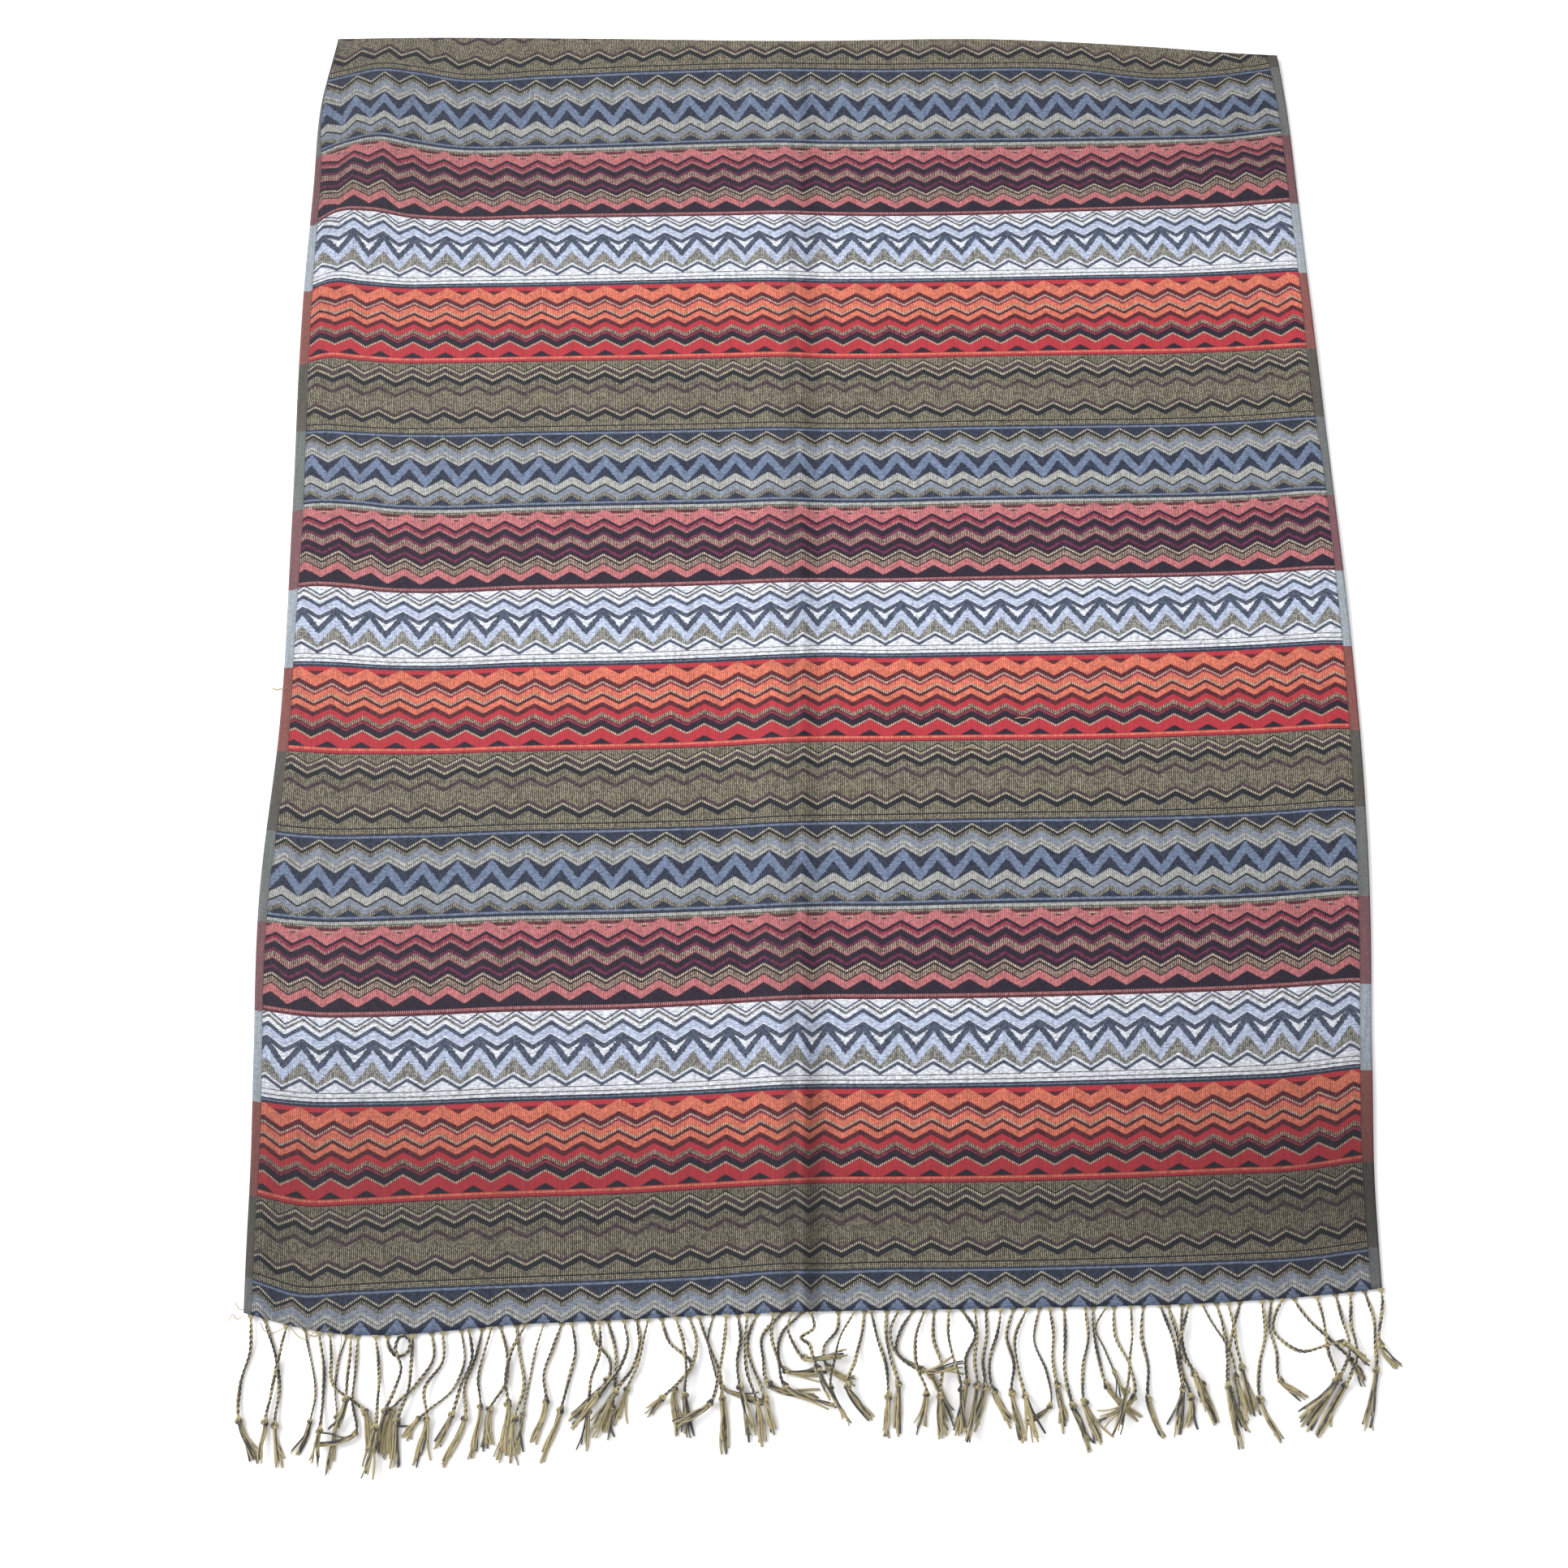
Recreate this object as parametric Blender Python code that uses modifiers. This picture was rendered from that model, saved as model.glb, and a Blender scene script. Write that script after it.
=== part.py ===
"""A fringed woven shawl, folded in half across its length and laid flat.

Metres, +Z up. The origin is at the middle of the cloth's underside, on the surface it lies on.
The fold is at the far end (+Y); the hem with both fringes is at the near end (-Y).
"""
import math

import bmesh
import bpy
import numpy as np

MM = 0.001

# Driving sizes
CLOTH_WIDTH = 0.710
CLOTH_LENGTH = 0.912
WALL = 1.2 * MM
GAP = 0.3 * MM
UPPER_TOP = 2 * WALL + GAP
FOLD_RADIUS = 2.4 * MM
FOLD_LIP = 4 * MM
FOLD_RISE_RUN = 34 * MM
STRIP_WIDTH = 3 * MM
UNDER_INSET = 1.5 * MM
CREASE_X = -8.5 * MM

# The walls' points: distances in from each edge and beside the crease (mm), and even steps between
EDGE_COLUMNS = (0, 9, 24, 44)
CREST_COLUMNS = (-44, -28, -15, -6, 0, 4, 8, 13)
LEFT_STEPS = 6
RIGHT_STEPS = 7
ROWS_ALONG = 27
ROLL_STEPS = 5

# How a crease's crest is rounded and how far it fades out at its ends (mm)
CREST_ROUND = 1.5
CREASE_FADE = 60

# Thickness of a twist along its length, and how it is held clear of the floor and of other twists
TWIST_RADIUS = 1.1 * MM
ROOT_RADIUS = 0.4 * MM
KNOT_RADIUS = 2.3 * MM
TASSEL_RADIUS = 1.9 * MM
FLOOR_CLEAR = 0.3 * MM
TWIST_CLEAR = 0.45 * MM
CLIMB = 0.55
ROOT_RUN = 4.5 * MM
SWELL_RUN = 9 * MM
KNOT_HALF = 4 * MM
TASSEL_RUN = 10 * MM
STATION_STEP = 11 * MM
OWN_APART = 12 * MM
SPAN_POINTS = 24
ROUTE_POINTS = 120

# The cloth's two long edges: y, left edge x, right edge x (mm)
EDGES = (
    (-458, -351.5, 349.5),
    (-370, -354.0, 350.5),
    (-300, -357.5, 355.0),
    (-200, -361.5, 362.0),
    (-80, -356.5, 365.0),
    (60, -358.0, 362.0),
    (210, -362.0, 356.5),
    (330, -361.0, 352.5),
    (410, -359.0, 349.0),
    (455, -350.5, 344.0),
)

# The cloth's two ends: x, hem y, fold y (mm)
ENDS = (
    (-355, -456.5, 458.5),
    (-310, -467.5, 459.5),
    (-170, -463.5, 459.0),
    (-20, -457.0, 457.0),
    (150, -454.0, 458.0),
    (250, -451.0, 452.0),
    (320, -446.0, 446.0),
    (355, -442.0, 444.0),
)

# Creases pressed or slumped into the cloth: x at the hem, x at the fold, y from, y to,
# run on the left, run on the right, height (mm)
CREASES = (
    (-8.5, -8.5, -520, 470, 44, 13, 3.4),
    (-243, -262, 330, 520, 20, 34, 1.6),
    (226, 214, 350, 520, 40, 26, 1.5),
    (-120, -60, -120, 60, 46, 40, 0.8),
    (120, 150, 90, 300, 50, 44, 0.9),
)

# Soft waves: x, y, half length across, half length along, height (mm)
WAVES = (
    (-312, 398, 26, 74, 2.2),
    (-352, 250, 20, 40, 1.3),
    (-346, 60, 22, 52, 1.4),
    (-350, -130, 20, 44, 1.2),
    (-346, -412, 14, 46, 3.0),
    (-300, -250, 44, 90, 0.9),
    (300, 380, 34, 60, 1.8),
    (352, 215, 18, 48, 1.3),
    (354, 20, 20, 44, 1.5),
    (350, -150, 22, 56, 1.2),
    (344, -330, 18, 44, 1.4),
    (-200, -436, 60, 26, 0.8),
    (110, -438, 70, 24, 0.8),
    (-150, 200, 70, 80, 0.7),
    (190, -60, 80, 70, 0.7),
    (70, -290, 60, 90, 0.8),
)

# A row for each twist of the fringe (mm): root x; x a third and two thirds down to the knot;
# knot x, y; tassel tip x, y; girth beside a full twist
UNDER_TWISTS = (
    (-339, -331, -327, -328, -523, -324, -548, 1.0),
    (-314, -309, -305, -307, -521, -313, -541, 0.6),
    (-288, -292, -293, -291, -518, -295, -552, 0.6),
    (-281, -281, -282, -279, -528, -303, -535, 0.8),
    (-236, -234, -243, -257, -514, -260, -545, 1.0),
    (-218, -215, -221, -241, -519, -251, -530, 0.7),
    (-205, -208, -214, -213, -519, -226, -548, 1.0),
    (-194, -189, -189, -198, -514, -200, -539, 1.0),
    (-184, -181, -178, -183, -519, -186, -546, 1.0),
    (-156, -161, -166, -164, -509, -171, -534, 1.0),
    (-138, -135, -126, -127, -497, -150, -521, 1.0),
    (-128, -123, -122, -124, -512, -129, -531, 1.0),
    (-110, -108, -112, -122, -504, -136, -530, 1.0),
    (-95, -90, -76, -86, -502, -83, -530, 1.0),
    (-78, -73, -77, -93, -507, -104, -517, 1.0),
    (-63, -66, -63, -57, -501, -29, -511, 0.6),
    (-48, -46, -48, -46, -501, -37, -532, 1.0),
    (-36, -42, -38, -31, -507, -26, -529, 1.0),
    (-20, -33, -32, -29, -499, 3, -508, 1.0),
    (-8, -20, -23, -19, -491, 8, -493, 0.9),
    (14, 13, 5, 7, -489, 26, -499, 0.9),
    (30, 28, 24, 19, -500, 34, -520, 1.0),
    (44, 43, 46, 50, -499, 49, -531, 1.0),
    (60, 52, 50, 70, -494, 83, -524, 1.0),
    (73, 72, 77, 75, -506, 77, -531, 1.0),
    (90, 98, 92, 92, -498, 86, -530, 1.0),
    (105, 105, 102, 103, -501, 96, -527, 1.0),
    (122, 117, 121, 119, -504, 126, -533, 1.0),
    (138, 134, 141, 142, -512, 125, -523, 0.7),
    (153, 153, 152, 156, -512, 167, -538, 1.0),
    (171, 171, 173, 177, -500, 195, -521, 1.0),
    (184, 184, 192, 193, -507, 171, -520, 0.9),
    (202, 200, 203, 202, -508, 210, -531, 1.0),
    (217, 222, 223, 228, -507, 227, -526, 1.0),
    (226, 224, 226, 235, -499, 243, -524, 1.0),
    (247, 251, 252, 252, -503, 261, -528, 1.0),
    (262, 256, 252, 250, -500, 256, -537, 1.0),
    (281, 279, 282, 283, -497, 299, -508, 0.9),
    (295, 303, 316, 328, -486, 336, -500, 1.0),
    (321, 324, 326, 319, -495, 296, -526, 1.0),
    (339, 343, 343, 342, -491, 334, -527, 1.0),
)
UPPER_TWISTS = (
    (-347, -346, -351, -350, -520, -337, -546, 1.0),
    (-325, -328, -331, -334, -521, -335, -546, 1.0),
    (-305, -301, -300, -300, -526, -301, -547, 1.0),
    (-298, -296, -294, -274, -515, -270, -538, 1.0),
    (-285, -285, -285, -285, -508, -291, -529, 1.0),
    (-270, -267, -266, -266, -524, -272, -554, 1.0),
    (-247, -247, -248, -254, -521, -254, -549, 1.0),
    (-229, -228, -238, -236, -519, -241, -548, 1.0),
    (-213, -210, -216, -221, -517, -231, -537, 1.0),
    (-199, -203, -206, -204, -512, -209, -544, 0.8),
    (-178, -186, -189, -187, -511, -192, -545, 1.0),
    (-167, -172, -175, -178, -517, -181, -541, 0.6),
    (-150, -147, -151, -155, -514, -167, -545, 1.0),
    (-133, -132, -137, -138, -515, -142, -538, 1.0),
    (-118, -115, -120, -132, -505, -147, -526, 1.0),
    (-103, -106, -109, -115, -502, -122, -524, 0.8),
    (-86, -81, -79, -80, -506, -76, -532, 1.0),
    (-72, -66, -59, -57, -507, -55, -540, 1.0),
    (-55, -56, -59, -64, -510, -86, -523, 1.0),
    (-42, -43, -42, -36, -509, -32, -536, 1.0),
    (-26, -27, -23, -19, -500, 12, -514, 1.0),
    (-15, -17, -14, -7, -484, 19, -481, 0.9),
    (24, 15, 11, 9, -501, 21, -524, 0.7),
    (34, 38, 43, 44, -506, 41, -530, 1.0),
    (51, 46, 48, 64, -491, 90, -489, 1.0),
    (67, 61, 61, 67, -505, 61, -529, 1.0),
    (82, 81, 84, 88, -502, 89, -529, 0.9),
    (98, 99, 97, 98, -500, 91, -533, 1.0),
    (114, 111, 106, 108, -503, 118, -525, 1.0),
    (130, 122, 123, 127, -506, 131, -533, 1.0),
    (144, 146, 145, 147, -500, 153, -528, 1.0),
    (166, 167, 163, 163, -510, 173, -534, 1.0),
    (179, 172, 177, 182, -492, 188, -509, 0.6),
    (194, 194, 191, 188, -503, 181, -530, 0.8),
    (212, 218, 221, 223, -502, 218, -531, 1.0),
    (230, 225, 222, 230, -493, 237, -515, 1.0),
    (238, 245, 253, 256, -495, 261, -521, 0.8),
    (254, 256, 257, 260, -489, 266, -518, 1.0),
    (275, 276, 271, 270, -508, 282, -533, 1.0),
    (309, 312, 313, 316, -497, 290, -521, 1.0),
    (330, 329, 330, 322, -500, 303, -530, 1.0),
    (349, 349, 346, 345, -476, 357, -490, 1.0),
)

# Twists that swing round in a loop: the route's points from root to tassel tip, the knot last but one
UPPER_LOOPS = (
    ((-3, -457), (-1, -466), (-9, -472), (-4, -476), (-2, -483), (1, -490), (11, -511)),
    ((288, -450), (283, -457), (281, -467), (287, -475), (297, -480), (310, -477), (321, -475), (337, -488)),
)
UNDER_LOOPS = (
    ((-263, -468), (-262, -477), (-256, -483), (-250, -480), (-249, -473), (-254, -471), (-257, -478),
     (-253, -490), (-256, -502), (-261, -515), (-266, -545)),
)


def column(rows, index):
    """One column of a table in millimetres, as metres."""
    return np.array([row[index] for row in rows]) * MM


def soft_table(rows, index, at):
    """A table's column as a smooth curve of its first column: cubic, with the slopes of a Catmull-Rom."""
    knots, values = column(rows, 0), column(rows, index)
    slopes = np.gradient(values, knots)
    at = np.clip(at, knots[0], knots[-1])
    i = np.clip(np.searchsorted(knots, at) - 1, 0, len(knots) - 2)
    span = knots[i + 1] - knots[i]
    t = (at - knots[i]) / span
    return ((2 * t ** 3 - 3 * t ** 2 + 1) * values[i] + (t ** 3 - 2 * t ** 2 + t) * span * slopes[i]
            + (3 * t ** 2 - 2 * t ** 3) * values[i + 1] + (t ** 3 - t ** 2) * span * slopes[i + 1])


def smooth_step(value):
    value = np.clip(value, 0, 1)
    return value * value * (3 - 2 * value)


def hem_at(x):
    return soft_table(ENDS, 1, x)


def fold_at(x):
    return soft_table(ENDS, 2, x)


def spread(c, y):
    """X of the thread whose place across the flat cloth is c: the edges bow, the crease is straight."""
    left, right = soft_table(EDGES, 1, y), soft_table(EDGES, 2, y)
    left_share = (c - CREASE_X) / (-CLOTH_WIDTH / 2 - CREASE_X)
    right_share = (c - CREASE_X) / (CLOTH_WIDTH / 2 - CREASE_X)
    return CREASE_X + np.where(c < CREASE_X, left_share * (left - CREASE_X), right_share * (right - CREASE_X))


def lift(x, y):
    """How far the upper half's top stands over its flat level at a place."""
    height = np.zeros(np.broadcast(x, y).shape)
    for hem_x, fold_x, y_from, y_to, run_left, run_right, peak in CREASES:
        y_share = 0.5 + y / CLOTH_LENGTH
        across = x / MM - (hem_x + (fold_x - hem_x) * y_share)
        run = np.where(across < 0, run_left, run_right)
        crest = np.clip(1 - (np.hypot(across, CREST_ROUND) - CREST_ROUND) / run, 0, 1) ** 2
        ends = smooth_step((y / MM - y_from) / CREASE_FADE) * smooth_step((y_to - y / MM) / CREASE_FADE)
        height = height + peak * crest * ends
    for wave_x, wave_y, half_x, half_y, peak in WAVES:
        bump = np.exp(-((x / MM - wave_x) / half_x) ** 2 - ((y / MM - wave_y) / half_y) ** 2)
        height = height + peak * bump
    from_fold = fold_at(x) - FOLD_RADIUS - y
    fold_rise = 2 * FOLD_RADIUS - UPPER_TOP
    calm = smooth_step(from_fold / FOLD_RISE_RUN)
    return height * MM * calm + fold_rise * (1 - calm)


def upper_top(x, y):
    return UPPER_TOP + lift(x, y)


def under_top(x, y):
    return np.full(np.shape(x), WALL)


def new_collection(name):
    made = bpy.data.collections.new(name)
    bpy.context.scene.collection.children.link(made)
    return made


def material(name, colour, roughness):
    made = bpy.data.materials.new(name)
    made.use_nodes = True
    shader = made.node_tree.nodes["Principled BSDF"]
    shader.inputs["Base Color"].default_value = (*colour, 1)
    shader.inputs["Roughness"].default_value = roughness
    shader.inputs["Metallic"].default_value = 0
    return made


def grid_on(name, surface):
    """A primitive grid laid on a surface, an array of places by column and row."""
    columns, rows = surface.shape[:2]
    mesh = bpy.data.meshes.new(name)
    work = bmesh.new()
    bmesh.ops.create_grid(work, x_segments=columns - 1, y_segments=rows - 1, size=1)
    work.to_mesh(mesh)
    work.free()
    flat = np.empty(3 * columns * rows)
    mesh.vertices.foreach_get("co", flat)
    flat = flat.reshape(-1, 3)
    across = np.rint((flat[:, 0] + 1) / 2 * (columns - 1)).astype(int)
    along = np.rint((flat[:, 1] + 1) / 2 * (rows - 1)).astype(int)
    mesh.vertices.foreach_set("co", surface[across, along].ravel())
    mesh.update()
    return mesh


def cloth_columns():
    """Lengthwise threads that the walls' points follow: close at the crease and the edges."""
    half = CLOTH_WIDTH / 2
    edge = np.array(EDGE_COLUMNS) * MM
    crest = CREASE_X + np.array(CREST_COLUMNS) * MM
    left = np.linspace(edge[-1] - half, crest[0], LEFT_STEPS + 1)[1:-1]
    right = np.linspace(crest[-1], half - edge[-1], RIGHT_STEPS + 1)[1:-1]
    return np.concatenate((edge - half, left, crest, right, half - edge[::-1]))


def flat_rows(c, near, far):
    """Points of each thread c at even rows, from near past the hem line to far short of the fold line."""
    thread = np.repeat(c[:, None], ROWS_ALONG, axis=1)
    share = np.linspace(0, 1, ROWS_ALONG)[None, :]
    x = thread
    for _ in range(3):
        y_near, y_far = hem_at(x) + near, fold_at(x) - far
        y = y_near + share * (y_far - y_near)
        x = spread(thread, y)
    return x, y


def upper_surface(c):
    """The upper half's outer face: over the top, round the fold and onto the floor."""
    x, y = flat_rows(c, STRIP_WIDTH + GAP, FOLD_RADIUS)
    points = [np.stack((x, y, upper_top(x, y)), axis=2)]
    end_x, end_y = x[:, -1:], y[:, -1:]
    for step in range(1, ROLL_STEPS + 1):
        angle = math.pi / 2 - math.pi * step / ROLL_STEPS
        ring_y = end_y + FOLD_RADIUS * math.cos(angle)
        ring_z = np.full_like(end_x, FOLD_RADIUS * (1 + math.sin(angle)))
        points.append(np.stack((end_x, ring_y, ring_z), axis=2))
    points.append(np.stack((end_x, end_y - FOLD_LIP, np.zeros_like(end_x)), axis=2))
    return np.concatenate(points, axis=1)


def add_object(name, mesh, home, look):
    thing = bpy.data.objects.new(name, mesh)
    home.objects.link(thing)
    mesh.materials.append(look)
    return thing


def add_wall(thing, thickness):
    solid = thing.modifiers.new("wall", "SOLIDIFY")
    solid.thickness = thickness
    solid.offset = -1
    solid.use_even_offset = True


def make_upper_half(home, look):
    """The half that shows, with the fold: a wall below its outer face."""
    upper = add_object("upper_half", grid_on("upper_half", upper_surface(cloth_columns())), home, look)
    add_wall(upper, WALL)


def make_under_half(home, look):
    """The hidden half: its top lies a gap below the upper half's faces, and its underside is flat."""
    x, y = flat_rows(cloth_columns(), STRIP_WIDTH + GAP, FOLD_RADIUS)
    step = 0.5 * MM
    rise_x = lift(x + step, y) - lift(x - step, y)
    rise_y = lift(x, y + step) - lift(x, y - step)
    slope = np.hypot(rise_x, rise_y) / (2 * step)
    z = upper_top(x, y) - WALL * np.hypot(1, slope) - GAP * (1 + slope)
    top = np.stack((x, y, z), axis=2)
    # The border is drawn back along the faces, clear of the fold's lip and out of sight at the edges
    top[:, -1] += (FOLD_LIP + GAP) / (y[:, -1:] - y[:, -2:-1]) * (top[:, -2] - top[:, -1])
    edge_share = UNDER_INSET / (EDGE_COLUMNS[1] * MM)
    top[0] += edge_share * (top[1] - top[0])
    top[-1] += edge_share * (top[-2] - top[-1])
    mesh = grid_on("under_half", top)
    work = bmesh.new()
    work.from_mesh(mesh)
    grown = bmesh.ops.extrude_face_region(work, geom=work.faces[:])["geom"]
    base = [item for item in grown if isinstance(item, bmesh.types.BMVert)]
    for point in base:
        point.co.z = 0
    bmesh.ops.recalc_face_normals(work, faces=work.faces[:])
    flat = [face for face in work.faces if all(abs(point.co.z) < 1e-7 for point in face.verts)]
    bmesh.ops.dissolve_faces(work, faces=flat)
    work.to_mesh(mesh)
    work.free()
    add_object("under_half", mesh, home, look)


def through(points, count):
    """A smooth route through a few points of the plan: centripetal Catmull-Rom, evenly spaced along it."""
    points = np.asarray(points, dtype=float)
    ends = np.vstack((2 * points[0] - points[1], points, 2 * points[-1] - points[-2]))
    pieces = []
    for a, b, c, d in zip(ends, ends[1:], ends[2:], ends[3:]):
        t1 = np.linalg.norm(b - a) ** 0.5
        t2 = t1 + np.linalg.norm(c - b) ** 0.5
        t3 = t2 + np.linalg.norm(d - c) ** 0.5
        t = np.linspace(t1, t2, SPAN_POINTS, endpoint=False)[:, None]
        ab = a + (b - a) * t / t1
        bc = b + (c - b) * (t - t1) / (t2 - t1)
        cd = c + (d - c) * (t - t2) / (t3 - t2)
        abc = ab + (bc - ab) * t / t2
        bcd = bc + (cd - bc) * (t - t1) / (t3 - t1)
        pieces.append(abc + (bcd - abc) * (t - t1) / (t2 - t1))
    route = np.vstack((*pieces, points[-1:]))
    length = np.concatenate(((0,), np.cumsum(np.linalg.norm(np.diff(route, axis=0), axis=1))))
    even = np.linspace(0, length[-1], count)
    return np.stack([np.interp(even, length, route[:, axis]) for axis in (0, 1)], axis=1), even


def plan_points(row):
    """The plan of one twist from its table row: root, a third, two thirds, knot and tip (mm)."""
    root, third, two_thirds, knot_x, knot_y, tip_x, tip_y = row[:7]
    hem = float(hem_at(np.array(root * MM))) / MM
    bends = [(third, hem + (knot_y - hem) / 3), (two_thirds, hem + (knot_y - hem) * 2 / 3)]
    return [(root, hem), *bends, (knot_x, knot_y), (tip_x, tip_y)]


def stations(knot, end):
    """Where along a twist its tube has a ring: root, swell, even steps, knot and tassel."""
    swell = ROOT_RUN + SWELL_RUN
    steps = max(2, round((knot - KNOT_HALF - swell) / STATION_STEP))
    body = np.linspace(swell, knot - KNOT_HALF, steps + 1)
    tassel = np.linspace(knot + KNOT_HALF, end, 3)
    return np.concatenate(((0, ROOT_RUN), body, (knot,), tassel))


def twist(points, girth):
    """A twist's dense route in plan with its radius: thin at the root, swelling, a knot, then the tassel."""
    points = [(x * MM, y * MM) for x, y in points]
    root_x, root_y = points[0]
    points[0] = (root_x, float(hem_at(np.array(root_x))))
    inside = (root_x, points[0][1] + STRIP_WIDTH / 2)
    route, along = through([inside, *points], ROUTE_POINTS)
    knot = along[np.linalg.norm(route - np.array(points[-2]), axis=1).argmin()]
    radius = ROOT_RADIUS + (TWIST_RADIUS * girth - ROOT_RADIUS) * smooth_step((along - ROOT_RUN) / SWELL_RUN)
    knot_swell = (KNOT_RADIUS - TWIST_RADIUS) * girth
    radius = radius + knot_swell * np.clip(1 - np.abs(along - knot) / KNOT_HALF, 0, 1)
    past_knot = smooth_step((along - knot - KNOT_HALF) / TASSEL_RUN)
    radius = radius + (TASSEL_RADIUS - TWIST_RADIUS) * girth * past_knot
    at = stations(knot, along[-1])
    ring_x, ring_y, ring_radius = (np.interp(at, along, line) for line in (route[:, 0], route[:, 1], radius))
    chords = np.stack([np.interp(along, at, ring) for ring in (ring_x, ring_y)], axis=1)
    return {"route": chords, "along": along, "radius": np.interp(along, at, ring_radius), "at": at}


def all_twists(rows, loops):
    """Every twist of one end: the table's and those that loop."""
    return [twist(plan_points(row), row[-1]) for row in rows] + [twist(points, 1.0) for points in loops]


def seat(twists, strip_top, taken):
    """Gives each twist its height: on the floor, or over every earlier twist that it crosses in plan."""
    for item in twists:
        route, along, radius = item["route"], item["along"], item["radius"]
        start = float(strip_top(*route[0])) - WALL + ROOT_RADIUS + FLOOR_CLEAR
        floor = np.maximum(radius + FLOOR_CLEAR, start - CLIMB * np.maximum(along - ROOT_RUN, 0))
        need = floor.copy()
        for other in taken + [item]:
            own = other is item
            reach = radius[:, None] + other["radius"][None, :] + TWIST_CLEAR
            apart = np.linalg.norm(route[:, None] - other["route"][None, :], axis=2)
            over = np.sqrt(np.clip(reach ** 2 - apart ** 2, 0, None))
            heights = need if own else other["z"]
            level = np.where(apart < reach, heights[None, :] + over, 0)
            if own:
                level = np.where(along[:, None] - along[None, :] > OWN_APART, level, 0)
            need = np.maximum(need, level.max(axis=1))
        ramp = need[None, :] - CLIMB * np.abs(along[:, None] - along[None, :])
        height = ramp.max(axis=1)
        at = item["at"]
        rings = np.full(len(at), start)
        for i in range(2, len(at)):
            far = at[min(i + 1, len(at) - 1)]
            rings[i] = height[(along >= at[i - 1]) & (along <= far)].max()
        item["z"] = np.interp(along, at, rings)
        taken.append(item)


def make_fringe(name, twists, strip_surface, home, helpers, look):
    """A strip of hem with its twists fused to it by their roots."""
    curve = bpy.data.curves.new(name + "_twists", "CURVE")
    curve.dimensions = "3D"
    curve.bevel_depth = 1
    curve.bevel_resolution = 0
    curve.use_fill_caps = True
    for item in twists:
        at, along = item["at"], item["along"]
        line = curve.splines.new("POLY")
        line.points.add(len(at) - 1)
        lines = (*item["route"].T, item["z"], item["radius"])
        rings = np.stack([np.interp(at, along, values) for values in lines], axis=1)
        for point, (x, y, z, radius) in zip(line.points, rings):
            point.co = (x, y, z, 1)
            point.radius = radius
    tubes = bpy.data.objects.new(name + "_twists", curve)
    helpers.objects.link(tubes)
    bpy.context.view_layer.update()
    evaluated = tubes.evaluated_get(bpy.context.evaluated_depsgraph_get())
    mesh = bpy.data.meshes.new_from_object(evaluated)
    work = bmesh.new()
    work.from_mesh(mesh)
    bmesh.ops.remove_doubles(work, verts=work.verts[:], dist=0.000001)
    bmesh.ops.recalc_face_normals(work, faces=work.faces[:])
    work.to_mesh(mesh)
    work.free()
    joined = bpy.data.objects.new(name + "_twist_mesh", mesh)
    joined.matrix_world = tubes.matrix_world
    helpers.objects.link(joined)
    joined.hide_render = True
    joined.display_type = "WIRE"
    bpy.data.objects.remove(tubes)
    fringe = add_object(name, grid_on(name, strip_surface), home, look)
    add_wall(fringe, WALL)
    union = fringe.modifiers.new("roots", "BOOLEAN")
    union.operation = "UNION"
    union.solver = "EXACT"
    union.object = joined


def hem_strip(top):
    """The strip of hem between the cloth's edge and the fringe, with its top face at top(x, y)."""
    x, _ = flat_rows(cloth_columns(), 0, FOLD_RADIUS)
    outer_y = hem_at(x[:, 0])
    pair_x = np.stack((x[:, 0], x[:, 0]), axis=1)
    pair_y = np.stack((outer_y, outer_y + STRIP_WIDTH), axis=1)
    return np.stack((pair_x, pair_y, top(pair_x, pair_y)), axis=2)


def main():
    for thing in list(bpy.data.objects):
        bpy.data.objects.remove(thing)
    home = new_collection("folded_shawl")
    helpers = new_collection("helpers")
    cloth = material("woven_cloth", (0.16, 0.11, 0.10), 0.8)
    hidden = material("woven_cloth_under", (0.13, 0.10, 0.09), 0.8)
    gold = material("twisted_yarn_upper", (0.36, 0.29, 0.18), 0.7)
    dark = material("twisted_yarn_under", (0.30, 0.25, 0.17), 0.7)
    make_upper_half(home, cloth)
    make_under_half(home, hidden)
    taken = []
    under = all_twists(UNDER_TWISTS, UNDER_LOOPS)
    seat(under, under_top, taken)
    upper = all_twists(UPPER_TWISTS, UPPER_LOOPS)
    seat(upper, upper_top, taken)
    make_fringe("under_fringe", under, hem_strip(under_top), home, helpers, dark)
    make_fringe("upper_fringe", upper, hem_strip(upper_top), home, helpers, gold)


main()
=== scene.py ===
"""Looks of a fringed woven shawl, folded in half across its length and laid flat.

Metres, +Z up. The origin is at the middle of the cloth's underside, on the floor. The fold is at +Y,
the hem with both fringes at -Y. Run as a script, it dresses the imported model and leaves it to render.
"""

import math

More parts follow.
